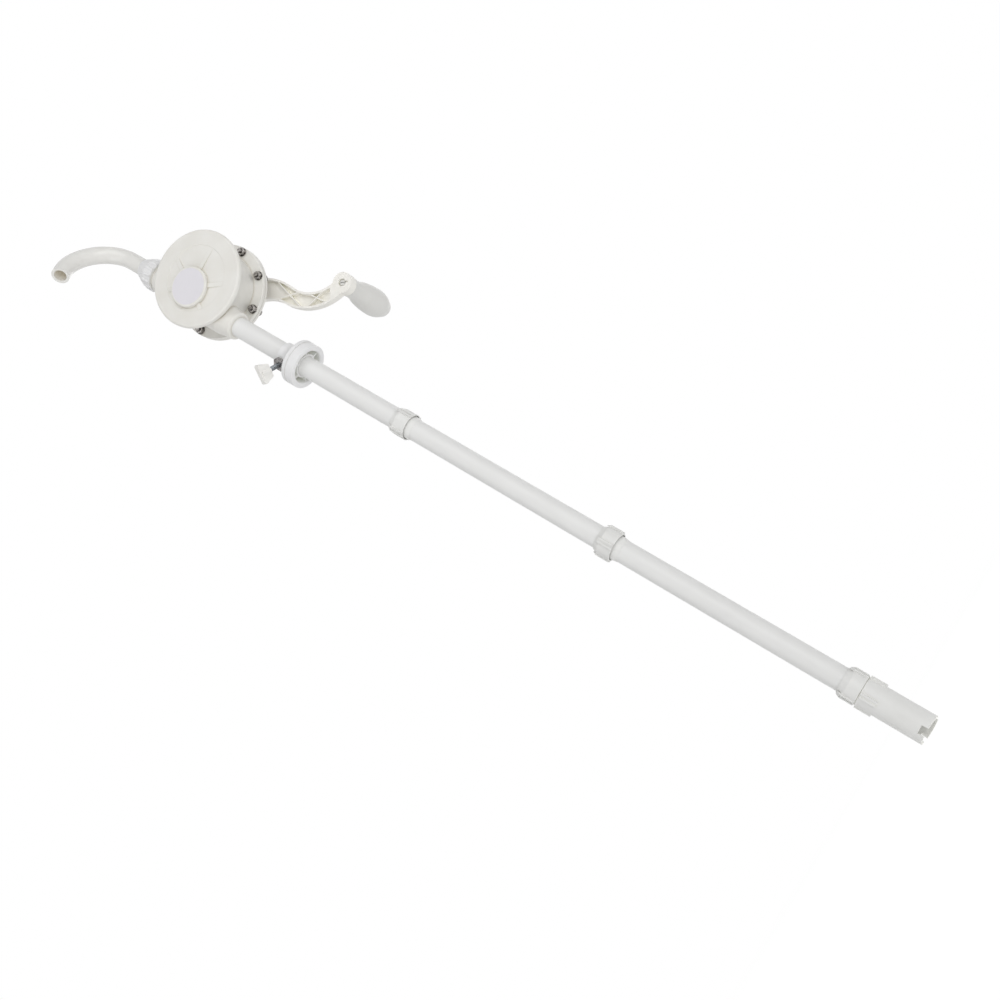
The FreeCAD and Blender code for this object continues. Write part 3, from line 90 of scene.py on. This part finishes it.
# %% [markdown]
# ## Studio
# A white sweep lights the object evenly from all round. The world is white to the camera and
# in reflections, and a plain soft grey as a light. The floor is white too, but a part of it
# is real diffuse paint, so that the foot keeps a faint shadow.


# %% A helper that wires shader nodes
def add_node(tree, kind, place=(0, 0), **values):
    """Add a node and set its properties and unlinked inputs by name."""
    node = tree.nodes.new(kind)
    node.location = place
    for name, value in values.items():
        if hasattr(node, name):
            setattr(node, name, value)
        else:
            node.inputs[name.replace("_", " ")].default_value = value
    return node


def seen_directly(tree):
    """A mask that is 1 for camera, mirror and glass rays, and 0 for the light on things."""
    path = add_node(tree, "ShaderNodeLightPath", (-700, 0))
    first = add_node(tree, "ShaderNodeMath", (-500, 0), operation="MAXIMUM")
    second = add_node(tree, "ShaderNodeMath", (-300, 0), operation="MAXIMUM")
    tree.links.new(path.outputs["Is Camera Ray"], first.inputs[0])
    tree.links.new(path.outputs["Is Glossy Ray"], first.inputs[1])
    tree.links.new(first.outputs[0], second.inputs[0])
    tree.links.new(path.outputs["Is Transmission Ray"], second.inputs[1])
    return second.outputs[0]


# %% World
WORLD_LIGHT = 0.30

world = bpy.data.worlds.new("studio")
world.use_nodes = True
world_tree = world.node_tree
world_tree.nodes.clear()
seen_white = add_node(world_tree, "ShaderNodeBackground", (0, 150), Color=(1, 1, 1, 1))
soft_light = add_node(world_tree, "ShaderNodeBackground", (0, -50),
                      Color=(1, 1, 1, 1), Strength=WORLD_LIGHT)
world_mix = add_node(world_tree, "ShaderNodeMixShader", (250, 0))
world_out = add_node(world_tree, "ShaderNodeOutputWorld", (450, 0))
world_tree.links.new(seen_directly(world_tree), world_mix.inputs[0])
world_tree.links.new(soft_light.outputs[0], world_mix.inputs[1])
world_tree.links.new(seen_white.outputs[0], world_mix.inputs[2])
world_tree.links.new(world_mix.outputs[0], world_out.inputs[0])
bpy.context.scene.world = world
print("world light", WORLD_LIGHT)

# %% Floor
FLOOR_SIZE = 16
FLOOR_PAINT = 0.10     # share of real paint, which shows the shadow
FLOOR_GLOW = 1.03      # makes up for the paint, so that the lit floor is white
FLOOR_FILL = 0.42      # light that the floor gives to the undersides

bpy.ops.object.select_all(action="DESELECT")
bpy.ops.mesh.primitive_plane_add(size=FLOOR_SIZE, location=(0, 0, FLOOR_HEIGHT))
floor = bpy.context.object
floor.name = "floor"
floor_finish = bpy.data.materials.new("white_floor")
floor_finish.use_nodes = True
floor_tree = floor_finish.node_tree
floor_tree.nodes.clear()
paint = add_node(floor_tree, "ShaderNodeBsdfDiffuse", (0, 150), Color=(0.9, 0.9, 0.9, 1))
glow = add_node(floor_tree, "ShaderNodeEmission", (0, -50), Color=(1, 1, 1, 1),
                Strength=FLOOR_GLOW)
fill = add_node(floor_tree, "ShaderNodeEmission", (-200, -50), Color=(1, 1, 1, 1),
                Strength=FLOOR_FILL)
lit_paint = add_node(floor_tree, "ShaderNodeAddShader", (100, 50))
share = add_node(floor_tree, "ShaderNodeMath", (-100, 300), operation="MULTIPLY")
share.inputs[1].default_value = 1 - FLOOR_PAINT
floor_mix = add_node(floor_tree, "ShaderNodeMixShader", (250, 0))
floor_out = add_node(floor_tree, "ShaderNodeOutputMaterial", (450, 0))
floor_tree.links.new(seen_directly(floor_tree), share.inputs[0])
floor_tree.links.new(share.outputs[0], floor_mix.inputs[0])
floor_tree.links.new(paint.outputs[0], lit_paint.inputs[0])
floor_tree.links.new(fill.outputs[0], lit_paint.inputs[1])
floor_tree.links.new(lit_paint.outputs[0], floor_mix.inputs[1])
floor_tree.links.new(glow.outputs[0], floor_mix.inputs[2])
floor_tree.links.new(floor_mix.outputs[0], floor_out.inputs[0])
floor.data.materials.append(floor_finish)
print("floor at", round(floor.location.z, 4), "m")

# %% [markdown]
# Large soft panels give the even light a direction. The main one stands high in front of the
# pump on its +X side. A weaker one on the -X side keeps the far side of the round shapes open,
# and a low one reaches under the head, into the crank's ribs and the grip. One more behind the
# pump keeps its back readable. The spout is smoother than the other pieces, so two small
# strips stand where its bend mirrors them. They are kept weak, because strong ones brighten
# every piece, and so their lights on the bend hardly show.


# %% Soft panels and strips
def area_lamp(name, place, target, width, height, power):
    """A rectangular lamp that is turned towards a target."""
    light = bpy.data.lights.new(name, "AREA")
    light.shape = "RECTANGLE"
    light.size = width
    light.size_y = height
    light.energy = power
    lamp = bpy.data.objects.new(name, light)
    lamp.location = place
    lamp.rotation_mode = "QUATERNION"
    lamp.rotation_quaternion = (Vector(target) - Vector(place)).to_track_quat("-Z", "Y")
    bpy.context.scene.collection.objects.link(lamp)
    print(name, "power", power)


area_lamp("main_panel", (1.3, -2.2, 1.1), (0, 0, -0.2), 1.8, 1.8, 16.5)
area_lamp("left_panel", (-1.8, -1.4, 0.2), (0, 0, -0.2), 1.6, 1.6, 9)
area_lamp("low_panel", (0.9, -1.9, -0.55), (0, 0, 0), 1.0, 1.0, 9)
area_lamp("back_panel", (0.6, 2.2, 1.2), (0, 0, -0.2), 1.6, 1.6, 5)
area_lamp("high_strip", (0.625, -2.081, 0.777), (0.002, -0.016, 0.345), 0.4, 0.12, 0.7)
area_lamp("low_strip", (0.377, -0.893, -0.373), (-0.011, -0.027, 0.361), 0.2, 0.06, 0.2)

# %% [markdown]
# ## Finishes
# Nearly everything is moulded or extruded white plastic, and the photograph tells the pieces
# apart by small differences: the round head is a warm white, the pipes are neutral, the
# adapter and the union nut are a touch cooler. Three small effects are shared by all of them,
# so each one is a node group with its own inputs: the fine grain of a moulded skin, the
# rounding of moulded edges, and the slight mottling that breaks up a flat colour, together
# with painted shade that darkens corners and hollows.


# %% A helper that starts a node group
def new_group(name, inputs, outputs):
    """A shader group with float or colour inputs and outputs: {name: default or None}."""
    group = bpy.data.node_groups.new(name, "ShaderNodeTree")
    for label, default in inputs.items():
        kind = "NodeSocketColor" if isinstance(default, tuple) else "NodeSocketFloat"
        socket = group.interface.new_socket(label, in_out="INPUT", socket_type=kind)
        socket.default_value = default
    for label, kind in outputs.items():
        group.interface.new_socket(label, in_out="OUTPUT", socket_type=f"NodeSocket{kind}")
    start = add_node(group, "NodeGroupInput", (-900, 0))
    end = add_node(group, "NodeGroupOutput", (700, 0))
    return group, start, end


def stretched_noise(tree, stretch, detail):
    """Noise on Object coordinates times a fixed vector, which gives fine lines."""
    place = add_node(tree, "ShaderNodeTexCoord", (-1100, -200))
    times = add_node(tree, "ShaderNodeVectorMath", (-900, -200), operation="MULTIPLY")
    times.inputs[1].default_value = stretch
    tree.links.new(place.outputs["Object"], times.inputs[0])
    lines = add_node(tree, "ShaderNodeTexNoise", (-600, -200), Scale=1.0, Detail=detail)
    tree.links.new(times.outputs[0], lines.inputs["Vector"])
    return lines.outputs["Fac"]


# %% Group: moulded skin
skin, skin_in, skin_out = new_group(
    "moulded_skin",
    {"Grain Scale": 900.0, "Grain Depth": 0.00002, "Wave Depth": 0.00004, "Edge Radius": 0.0005},
    {"Normal": "Vector", "Grain": "Float"},
)
skin_place = add_node(skin, "ShaderNodeTexCoord", (-900, 300))
fine = add_node(skin, "ShaderNodeTexNoise", (-500, 300), Detail=3.0, Roughness=0.6)
wave = add_node(skin, "ShaderNodeTexNoise", (-500, 0), Scale=55.0, Detail=1.0)
skin.links.new(skin_place.outputs["Object"], fine.inputs["Vector"])
skin.links.new(skin_place.outputs["Object"], wave.inputs["Vector"])
skin.links.new(skin_in.outputs["Grain Scale"], fine.inputs["Scale"])
rounded = add_node(skin, "ShaderNodeBevel", (-500, -300), samples=4)
skin.links.new(skin_in.outputs["Edge Radius"], rounded.inputs["Radius"])
wave_bump = add_node(skin, "ShaderNodeBump", (0, -100), Strength=1.0)
grain_bump = add_node(skin, "ShaderNodeBump", (300, 0), Strength=1.0)
skin.links.new(skin_in.outputs["Wave Depth"], wave_bump.inputs["Distance"])
skin.links.new(skin_in.outputs["Grain Depth"], grain_bump.inputs["Distance"])
skin.links.new(wave.outputs["Fac"], wave_bump.inputs["Height"])
skin.links.new(fine.outputs["Fac"], grain_bump.inputs["Height"])
skin.links.new(rounded.outputs[0], wave_bump.inputs["Normal"])
skin.links.new(wave_bump.outputs[0], grain_bump.inputs["Normal"])
skin.links.new(grain_bump.outputs[0], skin_out.inputs["Normal"])
skin.links.new(fine.outputs["Fac"], skin_out.inputs["Grain"])
print("group", skin.name)

# %% Group: mottling and painted shade in corners
mottle, mottle_in, mottle_out = new_group(
    "mottle_and_painted_shade",
    {"Clean": (0.8, 0.8, 0.8, 1), "Shade": (0.6, 0.6, 0.6, 1), "Mottle": 0.2, "Dust": 0.3,
     "Scale": 30.0, "Reach": 0.006},
    {"Color": "Color", "Mask": "Float"},
)
mottle_place = add_node(mottle, "ShaderNodeTexCoord", (-900, 300))
cloud = add_node(mottle, "ShaderNodeTexNoise", (-600, 300), Detail=4.0, Roughness=0.55)
mottle.links.new(mottle_place.outputs["Object"], cloud.inputs["Vector"])
mottle.links.new(mottle_in.outputs["Scale"], cloud.inputs["Scale"])
spread = add_node(mottle, "ShaderNodeMapRange", (-350, 300), From_Min=0.35, From_Max=0.7)
mottle.links.new(cloud.outputs["Fac"], spread.inputs["Value"])
patchy = add_node(mottle, "ShaderNodeMath", (-100, 300), operation="MULTIPLY")
mottle.links.new(spread.outputs[0], patchy.inputs[0])
mottle.links.new(mottle_in.outputs["Mottle"], patchy.inputs[1])
# Painted shade: where ambient occlusion finds a corner or hollow within Reach, the colour darkens
# towards Shade.
corner = add_node(mottle, "ShaderNodeAmbientOcclusion", (-600, -100), samples=6)
mottle.links.new(mottle_in.outputs["Reach"], corner.inputs["Distance"])
hidden = add_node(mottle, "ShaderNodeMath", (-350, -100), operation="SUBTRACT")
hidden.inputs[0].default_value = 1
mottle.links.new(corner.outputs["AO"], hidden.inputs[1])
painted_shade = add_node(mottle, "ShaderNodeMath", (-100, -100), operation="MULTIPLY")
mottle.links.new(hidden.outputs[0], painted_shade.inputs[0])
mottle.links.new(mottle_in.outputs["Dust"], painted_shade.inputs[1])
both = add_node(mottle, "ShaderNodeMath", (150, 100), operation="ADD", use_clamp=True)
mottle.links.new(patchy.outputs[0], both.inputs[0])
mottle.links.new(painted_shade.outputs[0], both.inputs[1])
tinted = add_node(mottle, "ShaderNodeMix", (400, 100), data_type="RGBA")
mottle.links.new(both.outputs[0], tinted.inputs["Factor"])
mottle.links.new(mottle_in.outputs["Clean"], tinted.inputs[6])
mottle.links.new(mottle_in.outputs["Shade"], tinted.inputs[7])
mottle.links.new(tinted.outputs[2], mottle_out.inputs["Color"])
mottle.links.new(both.outputs[0], mottle_out.inputs["Mask"])
print("group", mottle.name)

# %% [markdown]
# Light shines through the walls of white plastic, so the inside of the spout's mouth, of the
# foot, of the adapter and of the crank's ribs is warm and not a dark grey. No light is traced
# through the walls here. This group stands in for it: it finds the deep places with an ambient
# occlusion node and gives them a tint, which the materials use as a faint emission.

# %% Group: light through the walls
through, through_in, through_out = new_group(
    "light_through_walls",
    {"Tint": (0.2, 0.18, 0.13, 1)},
    {"Glow": "Color"},
)
deep = add_node(through, "ShaderNodeAmbientOcclusion", (-600, 0), samples=6, Distance=0.014)
inside = add_node(through, "ShaderNodeMapRange", (-350, 0), From_Min=0.8, From_Max=0.3)
through.links.new(deep.outputs["AO"], inside.inputs["Value"])
warm = add_node(through, "ShaderNodeMix", (150, 0), data_type="RGBA")
warm.inputs[6].default_value = (0, 0, 0, 1)
through.links.new(inside.outputs[0], warm.inputs["Factor"])
through.links.new(through_in.outputs["Tint"], warm.inputs[7])
through.links.new(warm.outputs[2], through_out.inputs["Glow"])
print("group", through.name)


# %% Moulded plastics
PLASTIC_IOR = 1.48
GRAIN_DEPTH = 0.00002      # of the fine grain, in metres


def place_group(tree, group, place, **values):
    node = add_node(tree, "ShaderNodeGroup", place)
    node.node_tree = group
    for name, value in values.items():
        node.inputs[name.replace("_", " ")].default_value = value
    return node


def start_material(name, preview):
    material = bpy.data.materials.new(name)
    material.use_nodes = True
    material.diffuse_color = (*preview, 1)
    tree = material.node_tree
    tree.nodes.clear()
    shader = add_node(tree, "ShaderNodeBsdfPrincipled", (300, 0))
    end = add_node(tree, "ShaderNodeOutputMaterial", (600, 0))
    tree.links.new(shader.outputs[0], end.inputs[0])
    return material, tree, shader


def roughness_from(tree, value, shader, low, high):
    """Spread a 0 to 1 pattern between two roughness values."""
    spread = add_node(tree, "ShaderNodeMapRange", (50, -200), To_Min=low, To_Max=high)
    tree.links.new(value, spread.inputs["Value"])
    tree.links.new(spread.outputs[0], shader.inputs["Roughness"])


def moulded_plastic(name, clean, shade, rough=(0.38, 0.5), grain=1.0, edge=0.3, mottling=0.18,
                    corner_shade=0.3, reach=6, glow=None):
    material, tree, shader = start_material(name, clean)
    surface = place_group(tree, skin, (-300, -250), Grain_Depth=GRAIN_DEPTH * grain,
                          Edge_Radius=edge * MM)
    # Painted shade: the tone group darkens corners and hollows towards the shade colour, as far
    # as reach; the mottling is the plastic's own uneven tone.
    tone = place_group(tree, mottle, (-300, 100), Clean=(*clean, 1), Shade=(*shade, 1),
                       Mottle=mottling, Dust=corner_shade, Reach=reach * MM)
    if glow:
        lit_inside = place_group(tree, through, (-300, -500), Tint=(*glow, 1))
        tree.links.new(lit_inside.outputs["Glow"], shader.inputs["Emission Color"])
        shader.inputs["Emission Strength"].default_value = 1
    tree.links.new(tone.outputs["Color"], shader.inputs["Base Color"])
    tree.links.new(surface.outputs["Normal"], shader.inputs["Normal"])
    roughness_from(tree, surface.outputs["Grain"], shader, *rough)
    shader.inputs["IOR"].default_value = PLASTIC_IOR
    print("material", name)
    return material


# The casing's strong, short painted shade draws dark lines along its ribs and recess edges.
casing_white = moulded_plastic("casing_white", (0.79, 0.78, 0.745), (0.56, 0.52, 0.43),
                               edge=0.15, corner_shade=0.95, reach=3)
coupling_white = moulded_plastic("coupling_white", (0.785, 0.785, 0.77), (0.58, 0.58, 0.55),
                                 edge=0.2, corner_shade=0.5, reach=3)
foot_white = moulded_plastic("foot_white", (0.785, 0.785, 0.77), (0.60, 0.60, 0.57), edge=0.2,
                             corner_shade=0.4, reach=3, glow=(0.11, 0.11, 0.09))
spout_white = moulded_plastic("spout_white", (0.765, 0.757, 0.73), (0.66, 0.645, 0.60),
                              rough=(0.16, 0.2), grain=0.2, glow=(0.235, 0.198, 0.135))
adapter_white = moulded_plastic("adapter_white", (0.81, 0.81, 0.815), (0.62, 0.61, 0.60),
                                corner_shade=0.5, reach=4, glow=(0.045, 0.048, 0.035))
knob_white = moulded_plastic("knob_white", (0.84, 0.83, 0.80), (0.64, 0.62, 0.58),
                             corner_shade=0.5, reach=3)
crank_cream = moulded_plastic("crank_cream", (0.885, 0.87, 0.83), (0.74, 0.70, 0.58),
                              glow=(0.05, 0.05, 0.04))
grip_grey = moulded_plastic("grip_grey", (0.70, 0.695, 0.67), (0.61, 0.605, 0.58),
                            rough=(0.34, 0.42), grain=0.4)
bearing_plastic = moulded_plastic("bearing_plastic", (0.62, 0.59, 0.48), (0.5, 0.47, 0.38))
rotor_grey = moulded_plastic("rotor_grey", (0.2, 0.2, 0.21), (0.14, 0.14, 0.15))

# %% [markdown]
# ## Extruded tubes
# The three tube sections are extruded, not moulded: the die leaves very fine lines along the
# length. Noise read from Object coordinates that are stretched along Z gives such lines.


# %% Extruded tube
def extruded_plastic(name, clean, shade):
    material, tree, shader = start_material(name, clean)
    # Mottled tone, with a light painted shade in corners and hollows.
    tone = place_group(tree, mottle, (-300, 100), Clean=(*clean, 1), Shade=(*shade, 1),
                       Mottle=0.16, Dust=0.25, Scale=14.0)
    lines = stretched_noise(tree, (900, 900, 7), 2.0)
    bump = add_node(tree, "ShaderNodeBump", (-100, -300), Strength=1.0, Distance=0.000016)
    tree.links.new(lines, bump.inputs["Height"])
    surface = place_group(tree, skin, (-400, -400), Grain_Depth=0.000008, Wave_Depth=0.00006,
                          Edge_Radius=0.3 * MM)
    tree.links.new(surface.outputs["Normal"], bump.inputs["Normal"])
    tree.links.new(tone.outputs["Color"], shader.inputs["Base Color"])
    tree.links.new(bump.outputs[0], shader.inputs["Normal"])
    roughness_from(tree, lines, shader, 0.36, 0.5)
    shader.inputs["IOR"].default_value = PLASTIC_IOR
    print("material", name)
    return material


tube_white = extruded_plastic("tube_white", (0.78, 0.78, 0.77), (0.68, 0.68, 0.665))

# %% [markdown]
# ## Label film
# The round place on the front boss carries a thin printed film on the real pump. Here it is
# bare: a pale lilac-white film, smoother than the plastic, with a slight waviness from being
# stuck on by hand.

# %% Label film
label_film, label_tree, label_shader = start_material("label_film", (0.72, 0.71, 0.77))
# Mottled tone, with a faint painted shade in corners and hollows.
label_tone = place_group(label_tree, mottle, (-300, 100), Clean=(0.75, 0.735, 0.77, 1),
                         Shade=(0.68, 0.67, 0.71, 1), Mottle=0.25, Dust=0.2, Scale=45.0)
label_skin = place_group(label_tree, skin, (-300, -250), Grain_Depth=0.000004,
                         Wave_Depth=0.0001, Edge_Radius=0.15 * MM)
label_tree.links.new(label_tone.outputs["Color"], label_shader.inputs["Base Color"])
label_tree.links.new(label_skin.outputs["Normal"], label_shader.inputs["Normal"])
roughness_from(label_tree, label_tone.outputs["Mask"], label_shader, 0.3, 0.42)
print("material label_film")

# %% [markdown]
# ## Metals and rubber
# The bolts and nuts are bright stainless steel, the square nut in the adapter is darker, and
# the clamp screw has bluish zinc plating. Metal needs variation in its roughness more than in
# its colour. A studio is dark beside its lamps, so metal grows darker towards its outline: the
# Layer Weight node paints that reflection into the colour here. Light and dark blotches in the
# colour are painted reflections too, and corners and hollows get painted shade. The seals are
# plain black rubber.


# %% Metal and rubber
def metal(name, colour, dark, rough, scratch=(400, 400, 400), reflection_patches=0.5):
    material, tree, shader = start_material(name, colour)
    # Painted reflections: light and dark blotches in the colour. Painted shade: darker corners
    # and hollows.
    tone = place_group(tree, mottle, (-300, 100), Clean=(*colour, 1), Shade=(*dark, 1),
                       Mottle=reflection_patches, Dust=0.9, Scale=420.0, Reach=1.2 * MM)
    lines = stretched_noise(tree, scratch, 3.0)
    surface = place_group(tree, skin, (-400, -400), Grain_Depth=0.000006, Wave_Depth=0.00001,
                          Edge_Radius=0.25 * MM)
    tree.links.new(surface.outputs["Normal"], shader.inputs["Normal"])
    # Painted reflection: the colour darkens towards the outline, where a dark studio would be
    # mirrored.
    rim = add_node(tree, "ShaderNodeLayerWeight", (-300, 400), Blend=0.35)
    shaded = add_node(tree, "ShaderNodeMix", (50, 250), data_type="RGBA")
    shaded.inputs[7].default_value = (*dark, 1)
    tree.links.new(rim.outputs["Facing"], shaded.inputs["Factor"])
    tree.links.new(tone.outputs["Color"], shaded.inputs[6])
    tree.links.new(shaded.outputs[2], shader.inputs["Base Color"])
    shader.inputs["Metallic"].default_value = 1
    roughness_from(tree, lines, shader, *rough)
    print("material", name)
    return material


stainless = metal("stainless", (0.68, 0.65, 0.62), (0.045, 0.04, 0.04), (0.1, 0.3), reflection_patches=0.9)
dark_steel = metal("dark_steel", (0.50, 0.48, 0.47), (0.05, 0.045, 0.045), (0.15, 0.4),
                   reflection_patches=0.9)
zinc_plate = metal("zinc_plate", (0.76, 0.80, 0.84), (0.16, 0.18, 0.20), (0.12, 0.3), reflection_patches=0.6)
turned_steel = metal("turned_steel", (0.55, 0.55, 0.55), (0.3, 0.3, 0.3), (0.2, 0.35),
                     (2500, 60, 2500))
black_rubber = moulded_plastic("black_rubber", (0.03, 0.03, 0.032), (0.09, 0.09, 0.09),
                               rough=(0.6, 0.8), grain=2.0, edge=0.2, mottling=0.5)

# %% Give every CAD node its finish
FINISHES = {
    casing_white: ["pump_casing", "rear_cover"],
    spout_white: ["spout_pipe"],
    foot_white: ["foot_housing", "foot_strainer"],
    coupling_white: ["coupling_socket_upper", "coupling_socket_middle", "coupling_socket_lower",
                     "coupling_collar_upper", "coupling_collar_middle"],
    tube_white: ["suction_tube_upper", "suction_tube_middle", "suction_tube_lower"],
    adapter_white: ["bung_adapter", "union_nut"],
    knob_white: ["clamp_knob"],
    crank_cream: ["crank_arm"],
    grip_grey: ["crank_grip"],
    label_film: ["label_disc"],
    bearing_plastic: ["shaft_bush_front", "shaft_bush_rear", "foot_valve_ball", "vane_upper",
                      "vane_lower"],
    rotor_grey: ["rotor"],
    stainless: ["flange_bolts", "flange_nuts", "flange_washers", "crank_washer", "crank_screw",
                "vane_springs"],
    dark_steel: ["clamp_nut"],
    zinc_plate: ["clamp_screw"],
    turned_steel: ["drive_shaft"],
    black_rubber: ["shaft_seal", "cover_gasket", "spout_seal"],
}
for finish, names in FINISHES.items():
    for name in names:
        nodes[name].data.materials.clear()
        nodes[name].data.materials.append(finish)
bare = set(nodes) - {name for names in FINISHES.values() for name in names}
print("nodes without a finish:", sorted(bare))

# %% [markdown]
# ## Screw threads
# The CAD model keeps every threaded part plain, at the outside radius of its thread. On the
# real pump the threads catch small lights: on the clamp screw between knob and nut, on the
# outlet below the union nut, and on the bolt ends that stand out of their nuts. A thread is a
# triangle carried round a screw line. The Screw modifier does that for any outline: one turn
# lifts the outline by the pitch.


# %% A helper that makes one thread along Z
def thread_coil(name, crest, depth, pitch, turns):
    """A coil of triangular section: crest at a radius, base 1.5 depths further in."""
    bpy.ops.object.select_all(action="DESELECT")
    bpy.ops.mesh.primitive_circle_add(vertices=3, radius=depth, fill_type="NOTHING",
                                      location=(0, 0, 0))
    coil = bpy.context.object
    coil.name = name
    coil.data.name = name
    bpy.ops.object.mode_set(mode="EDIT")
    bpy.ops.mesh.select_all(action="SELECT")
    bpy.ops.transform.rotate(value=math.radians(-90), orient_axis="Z", center_override=(0, 0, 0))
    bpy.ops.transform.rotate(value=math.radians(90), orient_axis="X", center_override=(0, 0, 0))
    bpy.ops.transform.translate(value=(crest - depth, 0, 0))
    bpy.ops.object.mode_set(mode="OBJECT")
    screw = coil.modifiers.new("screw", "SCREW")
    screw.axis = "Z"
    screw.angle = math.radians(360 * turns)
    screw.screw_offset = pitch * turns
    screw.steps = int(36 * turns)
    screw.render_steps = screw.steps
    bpy.ops.object.modifier_apply(modifier=screw.name)
    bpy.ops.object.mode_set(mode="EDIT")
    bpy.ops.mesh.select_all(action="SELECT")
    bpy.ops.mesh.remove_doubles(threshold=0.000001)
    bpy.ops.mesh.select_all(action="DESELECT")
    bpy.ops.mesh.select_non_manifold()
    bpy.ops.mesh.edge_face_add()
    bpy.ops.mesh.select_all(action="SELECT")
    bpy.ops.mesh.normals_make_consistent(inside=False)
    bpy.ops.object.mode_set(mode="OBJECT")
    return coil


def select_only(piece):
    bpy.ops.object.select_all(action="DESELECT")
    piece.select_set(True)
    bpy.context.view_layer.objects.active = piece


def lay_along(piece, direction, place):
    """Turn a piece drawn along Z into a direction and move it, all inside its mesh."""
    axis = Vector(direction).normalized()
    turn = Vector((0, 0, 1)).rotation_difference(axis)
    piece.rotation_mode = "QUATERNION"
    piece.rotation_quaternion = turn
    piece.location = place
    select_only(piece)
    bpy.ops.object.transform_apply(location=True, rotation=True, scale=True)


# %% [markdown]
# ### Outlet thread
# The outlet of the casing ends in a coarse thread for the union nut. A little more than one
# turn stays visible between the shoulder and the nut.

# %% Outlet thread
OUTLET_X = 4.1 * MM
OUTLET_CREST = 17.95 * MM
OUTLET_DEPTH = 0.8 * MM
OUTLET_PITCH = 2.4 * MM
OUTLET_TURNS = 1.25
OUTLET_DROP = 4.0 * MM     # from the nut's lower edge down to the start of the thread

outlet_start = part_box("union_nut")[0].z - OUTLET_DROP
outlet_thread = thread_coil("outlet_thread", OUTLET_CREST, OUTLET_DEPTH, OUTLET_PITCH,
                            OUTLET_TURNS)
lay_along(outlet_thread, (0, 0, 1), (OUTLET_X, 0, outlet_start))
outlet_thread.data.materials.append(casing_white)
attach(outlet_thread, "pump")
print("outlet thread from", round(outlet_start, 4), "m")

# %% [markdown]
# ### Bolt ends
# Eight bolts clamp the casing to its cover. Each one shows a little over two turns of a fine
# thread in front of its nut. One end is made and then spun round the casing's axis.

# %% Bolt ends
BOLTS = 8
BOLT_CIRCLE = 60.5 * MM    # from the casing's axis to the axis of a bolt
BOLT_CREST = 3.22 * MM
BOLT_DEPTH = 0.3 * MM
BOLT_PITCH = 0.8 * MM
BOLT_TURNS = 2.5
BOLT_INSET = 0.35 * MM     # from the bolt's end face to the start of its thread

bolt_low, bolt_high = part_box("flange_bolts")
casing_centre = (bolt_low + bolt_high) / 2
bolt_threads = thread_coil("bolt_threads", BOLT_CREST, BOLT_DEPTH, BOLT_PITCH, BOLT_TURNS)
lay_along(bolt_threads, (0, 1, 0),
          (casing_centre.x + BOLT_CIRCLE, bolt_low.y + BOLT_INSET, casing_centre.z))
bpy.ops.object.mode_set(mode="EDIT")
bpy.ops.mesh.select_all(action="SELECT")
bpy.ops.mesh.spin(dupli=True, steps=BOLTS - 1, angle=math.radians(360 - 360 / BOLTS),
                  axis=(0, 1, 0), center=(casing_centre.x, 0, casing_centre.z))
bpy.ops.object.mode_set(mode="OBJECT")
bolt_threads.data.materials.append(stainless)
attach(bolt_threads, "pump")
print("bolt threads on a circle of", round(2 * BOLT_CIRCLE / MM, 1), "mm")

# %% [markdown]
# ### Clamp screw
# The clamp screw shows the longest metal thread, so this piece stands in for the plain CAD
# screw: a core that narrows over its whole length towards the tip, and a thread that comes up
# to the outside radius. Where the core is narrow, the base of the thread stands off it by up
# to half a millimetre.

# %% Clamp screw
CLAMP_ANGLE = math.radians(228)
CLAMP_HEIGHT = 17.5 * MM
SCREW_START = 13.5 * MM    # from the tube's axis to the tip
SCREW_LENGTH = 37.7 * MM
SCREW_CREST = 3.38 * MM
SCREW_DEPTH = 0.42 * MM
SCREW_PITCH = 1.25 * MM
SCREW_TURNS = 28
SCREW_INSET = 1.9 * MM     # from the tip to the start of the thread
CORE_RADIUS = 2.9 * MM
CORE_AT_TIP = 0.75         # share of the core's radius that is left at the tip

clamp_direction = Vector((math.cos(CLAMP_ANGLE), math.sin(CLAMP_ANGLE), 0))
threaded_screw = thread_coil("threaded_clamp_screw", SCREW_CREST, SCREW_DEPTH, SCREW_PITCH,
                             SCREW_TURNS)
bpy.ops.object.mode_set(mode="EDIT")
bpy.ops.mesh.select_all(action="SELECT")
bpy.ops.transform.translate(value=(0, 0, SCREW_INSET))
bpy.ops.mesh.select_all(action="DESELECT")
bpy.ops.mesh.primitive_cylinder_add(vertices=48, radius=CORE_RADIUS, depth=SCREW_LENGTH,
                                    location=(0, 0, SCREW_LENGTH / 2))
bpy.ops.mesh.select_all(action="DESELECT")
bpy.ops.object.mode_set(mode="OBJECT")
core_end = [v.co.z < 1e-6 for v in threaded_screw.data.vertices]
threaded_screw.data.vertices.foreach_set("select", core_end)
bpy.ops.object.mode_set(mode="EDIT")
bpy.ops.mesh.select_mode(type="VERT")
bpy.ops.transform.resize(value=(CORE_AT_TIP, CORE_AT_TIP, 1), center_override=(0, 0, 0))
bpy.ops.mesh.select_all(action="DESELECT")
bpy.ops.object.mode_set(mode="OBJECT")
lay_along(threaded_screw, clamp_direction,
          clamp_direction * SCREW_START + Vector((0, 0, CLAMP_HEIGHT)))
threaded_screw.data.materials.append(zinc_plate)
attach(threaded_screw, "clamp")
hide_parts("clamp_screw")
print("clamp screw vertices", len(threaded_screw.data.vertices))

# %% Smooth shading of the added pieces
for piece in (outlet_thread, bolt_threads, threaded_screw):
    select_only(piece)
    bpy.ops.object.shade_smooth_by_angle(angle=math.radians(40))
    print(piece.name, len(piece.data.polygons), "faces")
